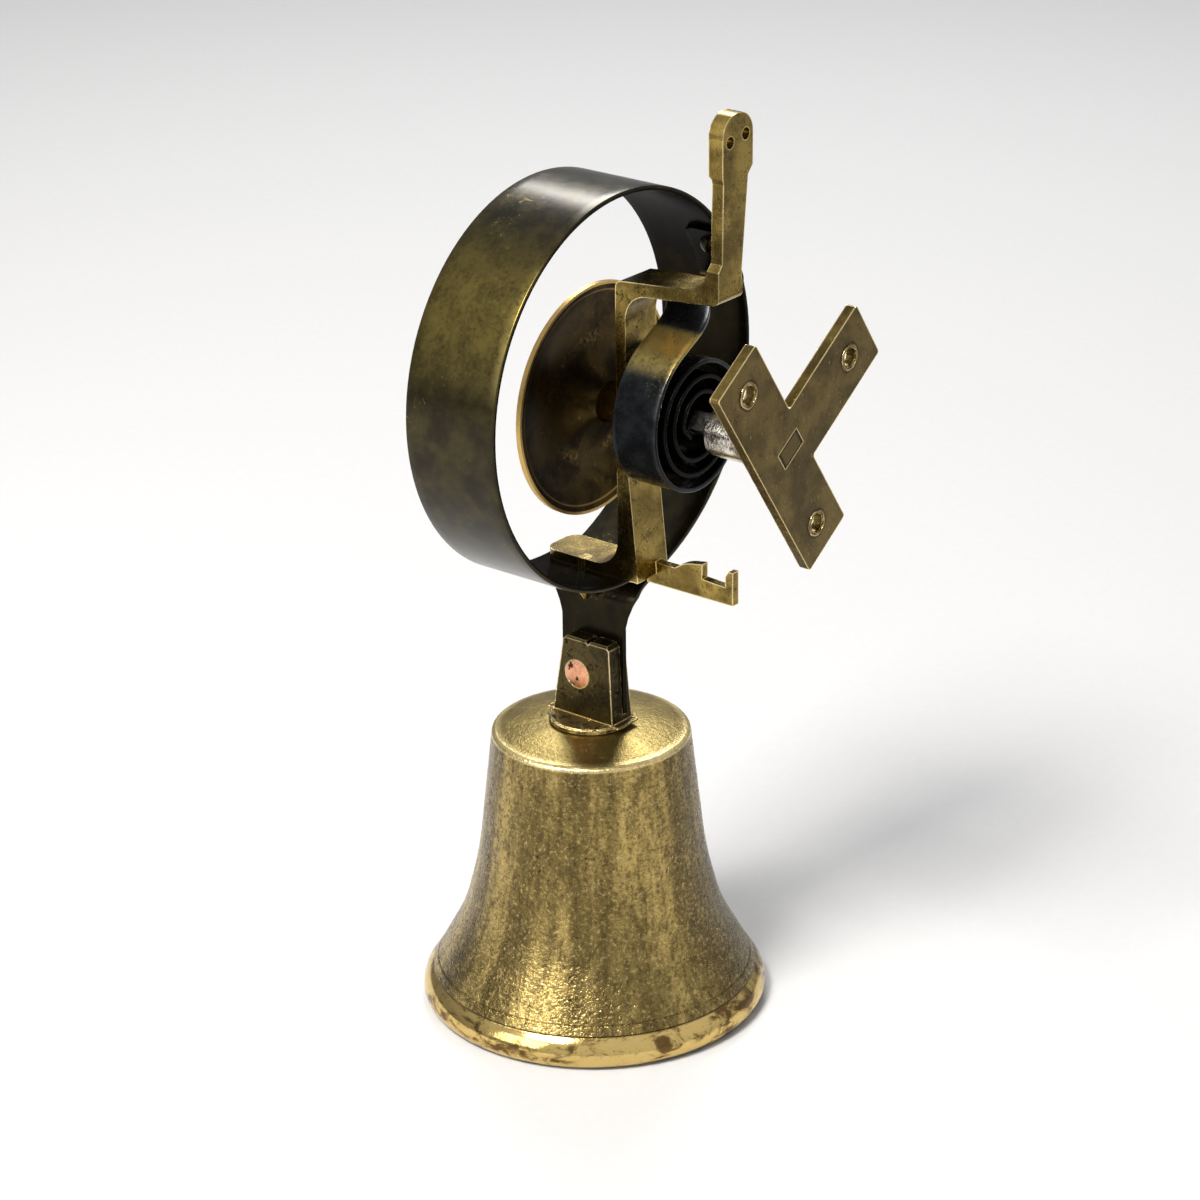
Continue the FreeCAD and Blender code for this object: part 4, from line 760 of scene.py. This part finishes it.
# %% The coil's tail
LAP_END, TAIL_BEND = 140.5, 1.8
tail = Pen(outer_x, LIFT, 90)
tail.arc(20.0, 62.0)
tail.run(5.0, 2)
drift_from = tail.x
tail.arc(36.0, 45.0)
lap = LOOP_R - (RIBBON + COIL) / 2 - SEAT
dx, dz = math.cos(math.radians(tail.heading)), math.sin(math.radians(tail.heading))
over = dz * (tail.x - LOOP_X) - dx * (tail.z - LOOP_Z) + TAIL_BEND
meet = tail.heading - 90 + math.degrees(math.acos(over / (lap - TAIL_BEND)))
corner_x = LOOP_X + (lap - TAIL_BEND) * math.cos(math.radians(meet))
corner_z = LOOP_Z + (lap - TAIL_BEND) * math.sin(math.radians(meet))
tail.run((corner_x - tail.x) * dx + (corner_z - tail.z) * dz, 4)
tail.arc(TAIL_BEND, meet - 90 - tail.heading, 9.0)
tail.arc(lap, LAP_END - meet, 1.5)
tail_long = tail.gone
print("the tail is", round(tail_long, 1), "mm long and meets the loop at", round(meet, 1))

# %% [markdown]
# On its way the tail drifts forward, from the coil's place on the spindle to the loop's front
# half. The drift follows a curve with two guide points, which is level at both ends. For each
# station we look for the point of the curve that lies at its x. The tip is rounded.

# %% The coil and its drift
COIL_HALF, COIL_Y, PROUD, TIP = 6.25, -32.85, 1.45, 3.1
TAIL_Y = FRONT + RIBBON_HALF + PROUD - COIL_HALF
LEVEL, NEAR_LOOP, LOOP_HIGH = 20.0, 60.0, 25.0
land = LOOP_X + lap * math.cos(math.radians(LAP_END)) + 1.0
reach = (drift_from - land) * 0.42


def drift(x):
    """How much of the drift is done at this x, from 0 to 1."""
    low, high = 0.0, 1.0
    for _ in range(30):
        t = (low + high) / 2
        at = (drift_from * ((1 - t) ** 3) + 3 * (drift_from - reach) * t * (1 - t) ** 2
              + 3 * (land + reach) * t * t * (1 - t) + land * t ** 3)
        low, high = (t, high) if at > x else (low, t)
    return 3 * t * t * (1 - t) + t ** 3


def coil_edges(station):
    """The strip's sides: square to the spindle in the coil, drifting forward in the tail."""
    x, z, _, gone = station
    share = drift(x) if gone > LEVEL else 0.0
    if gone > NEAR_LOOP and (z > LOOP_HIGH or x < land):
        share = 1.0
    middle = COIL_Y + (TAIL_Y - COIL_Y) * share
    short = TIP - (tail_long - gone)
    half = COIL_HALF
    if short > 0:
        half = COIL_HALF - TIP + math.sqrt(max(0.0, TIP ** 2 - short ** 2))
    return middle + half, middle - half


backward = [(x, z, heading + 180, -gone) for x, z, heading, gone in reversed(coil.stations)]
whole = backward + tail.stations[1:]
return_coil = strip("wound_coil", whole, COIL, coil_edges, coil_black)
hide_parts("return_coil")
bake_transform(return_coil)

# %% [markdown]
# Last comes the stage. It starts with a wide pale floor, a hair's breadth under the mouth.

# %% The floor
GROUND, REACH = MOUTH - 0.1 * MM, 4.0
corners = [(-REACH, -REACH, GROUND), (REACH, -REACH, GROUND),
           (REACH, REACH, GROUND), (-REACH, REACH, GROUND)]
pale = Finish("pale_floor")
weave = pale.noise(pale.place(), mm=3.0, detail=3, rough=0.6)
pale.surface(Base_Color=pale.blend(weave, (0.43, 0.43, 0.435), (0.46, 0.46, 0.465)),
             Roughness=0.9)
floor = new_mesh("floor", corners, [(0, 1, 2, 3)], pale.material)

# %% [markdown]
# The key lamp is soft and stands above the camera's left shoulder. A broad weak fill stands
# lower on the same side, and a rim lamp behind the object.

# %% The lamps
AIM = Vector((0, -0.04, -0.03))


def lamp(name, power, size, direction, distance, colour=WHITE):
    data = bpy.data.lights.new(name, "AREA")
    data.energy, data.size, data.color = power, size, colour
    made = bpy.data.objects.new(name, data)
    bpy.context.scene.collection.objects.link(made)
    made.location = AIM + Vector(direction).normalized() * distance
    made.rotation_euler = (made.location - AIM).to_track_quat("Z", "Y").to_euler()
    print(name, "lamp,", power, "W at", [round(v, 2) for v in made.location])


lamp("key", 24, 0.36, (1.0, -0.05, 1.3), 1.1, (1.0, 0.97, 0.92))
lamp("fill", 5, 0.7, (1.2, -0.3, 0.5), 1.3)
lamp("rim", 8, 0.4, (-0.8, -0.6, 0.9), 1.2)

# %% [markdown]
# Metal shows whatever stands around it, and an even world would leave it flat. So the world
# is a grey dome that is darkest low behind the object and brightens smoothly to a place
# overhead, a little to the camera's right. That slow change is what models the bell's wall.

# %% The dome
BRIGHTEST = Vector((0.25, 0.55, 0.80)).normalized()
DARK, LIGHT = 0.26, 0.80
world = bpy.data.worlds.new("World")
bpy.context.scene.world = world
world.use_nodes = True
tree = world.node_tree
sky = tree.nodes.new("ShaderNodeTexCoord")
toward = tree.nodes.new("ShaderNodeVectorMath")
toward.operation = "DOT_PRODUCT"
toward.inputs[1].default_value = BRIGHTEST
level = tree.nodes.new("ShaderNodeMapRange")
level.interpolation_type = "SMOOTHSTEP"
for socket, value in (("From Min", -0.5), ("From Max", 0.95), ("To Min", DARK), ("To Max", LIGHT)):
    level.inputs[socket].default_value = value
background = tree.nodes["Background"]
background.inputs["Color"].default_value = (1, 1, 1, 1)
tree.links.new(sky.outputs["Generated"], toward.inputs[0])
tree.links.new(toward.outputs["Value"], level.inputs["Value"])
tree.links.new(level.outputs[0], background.inputs["Strength"])
bpy.context.scene.view_settings.view_transform = "Standard"
print("the dome goes from", DARK, "to", LIGHT)

# %% [markdown]
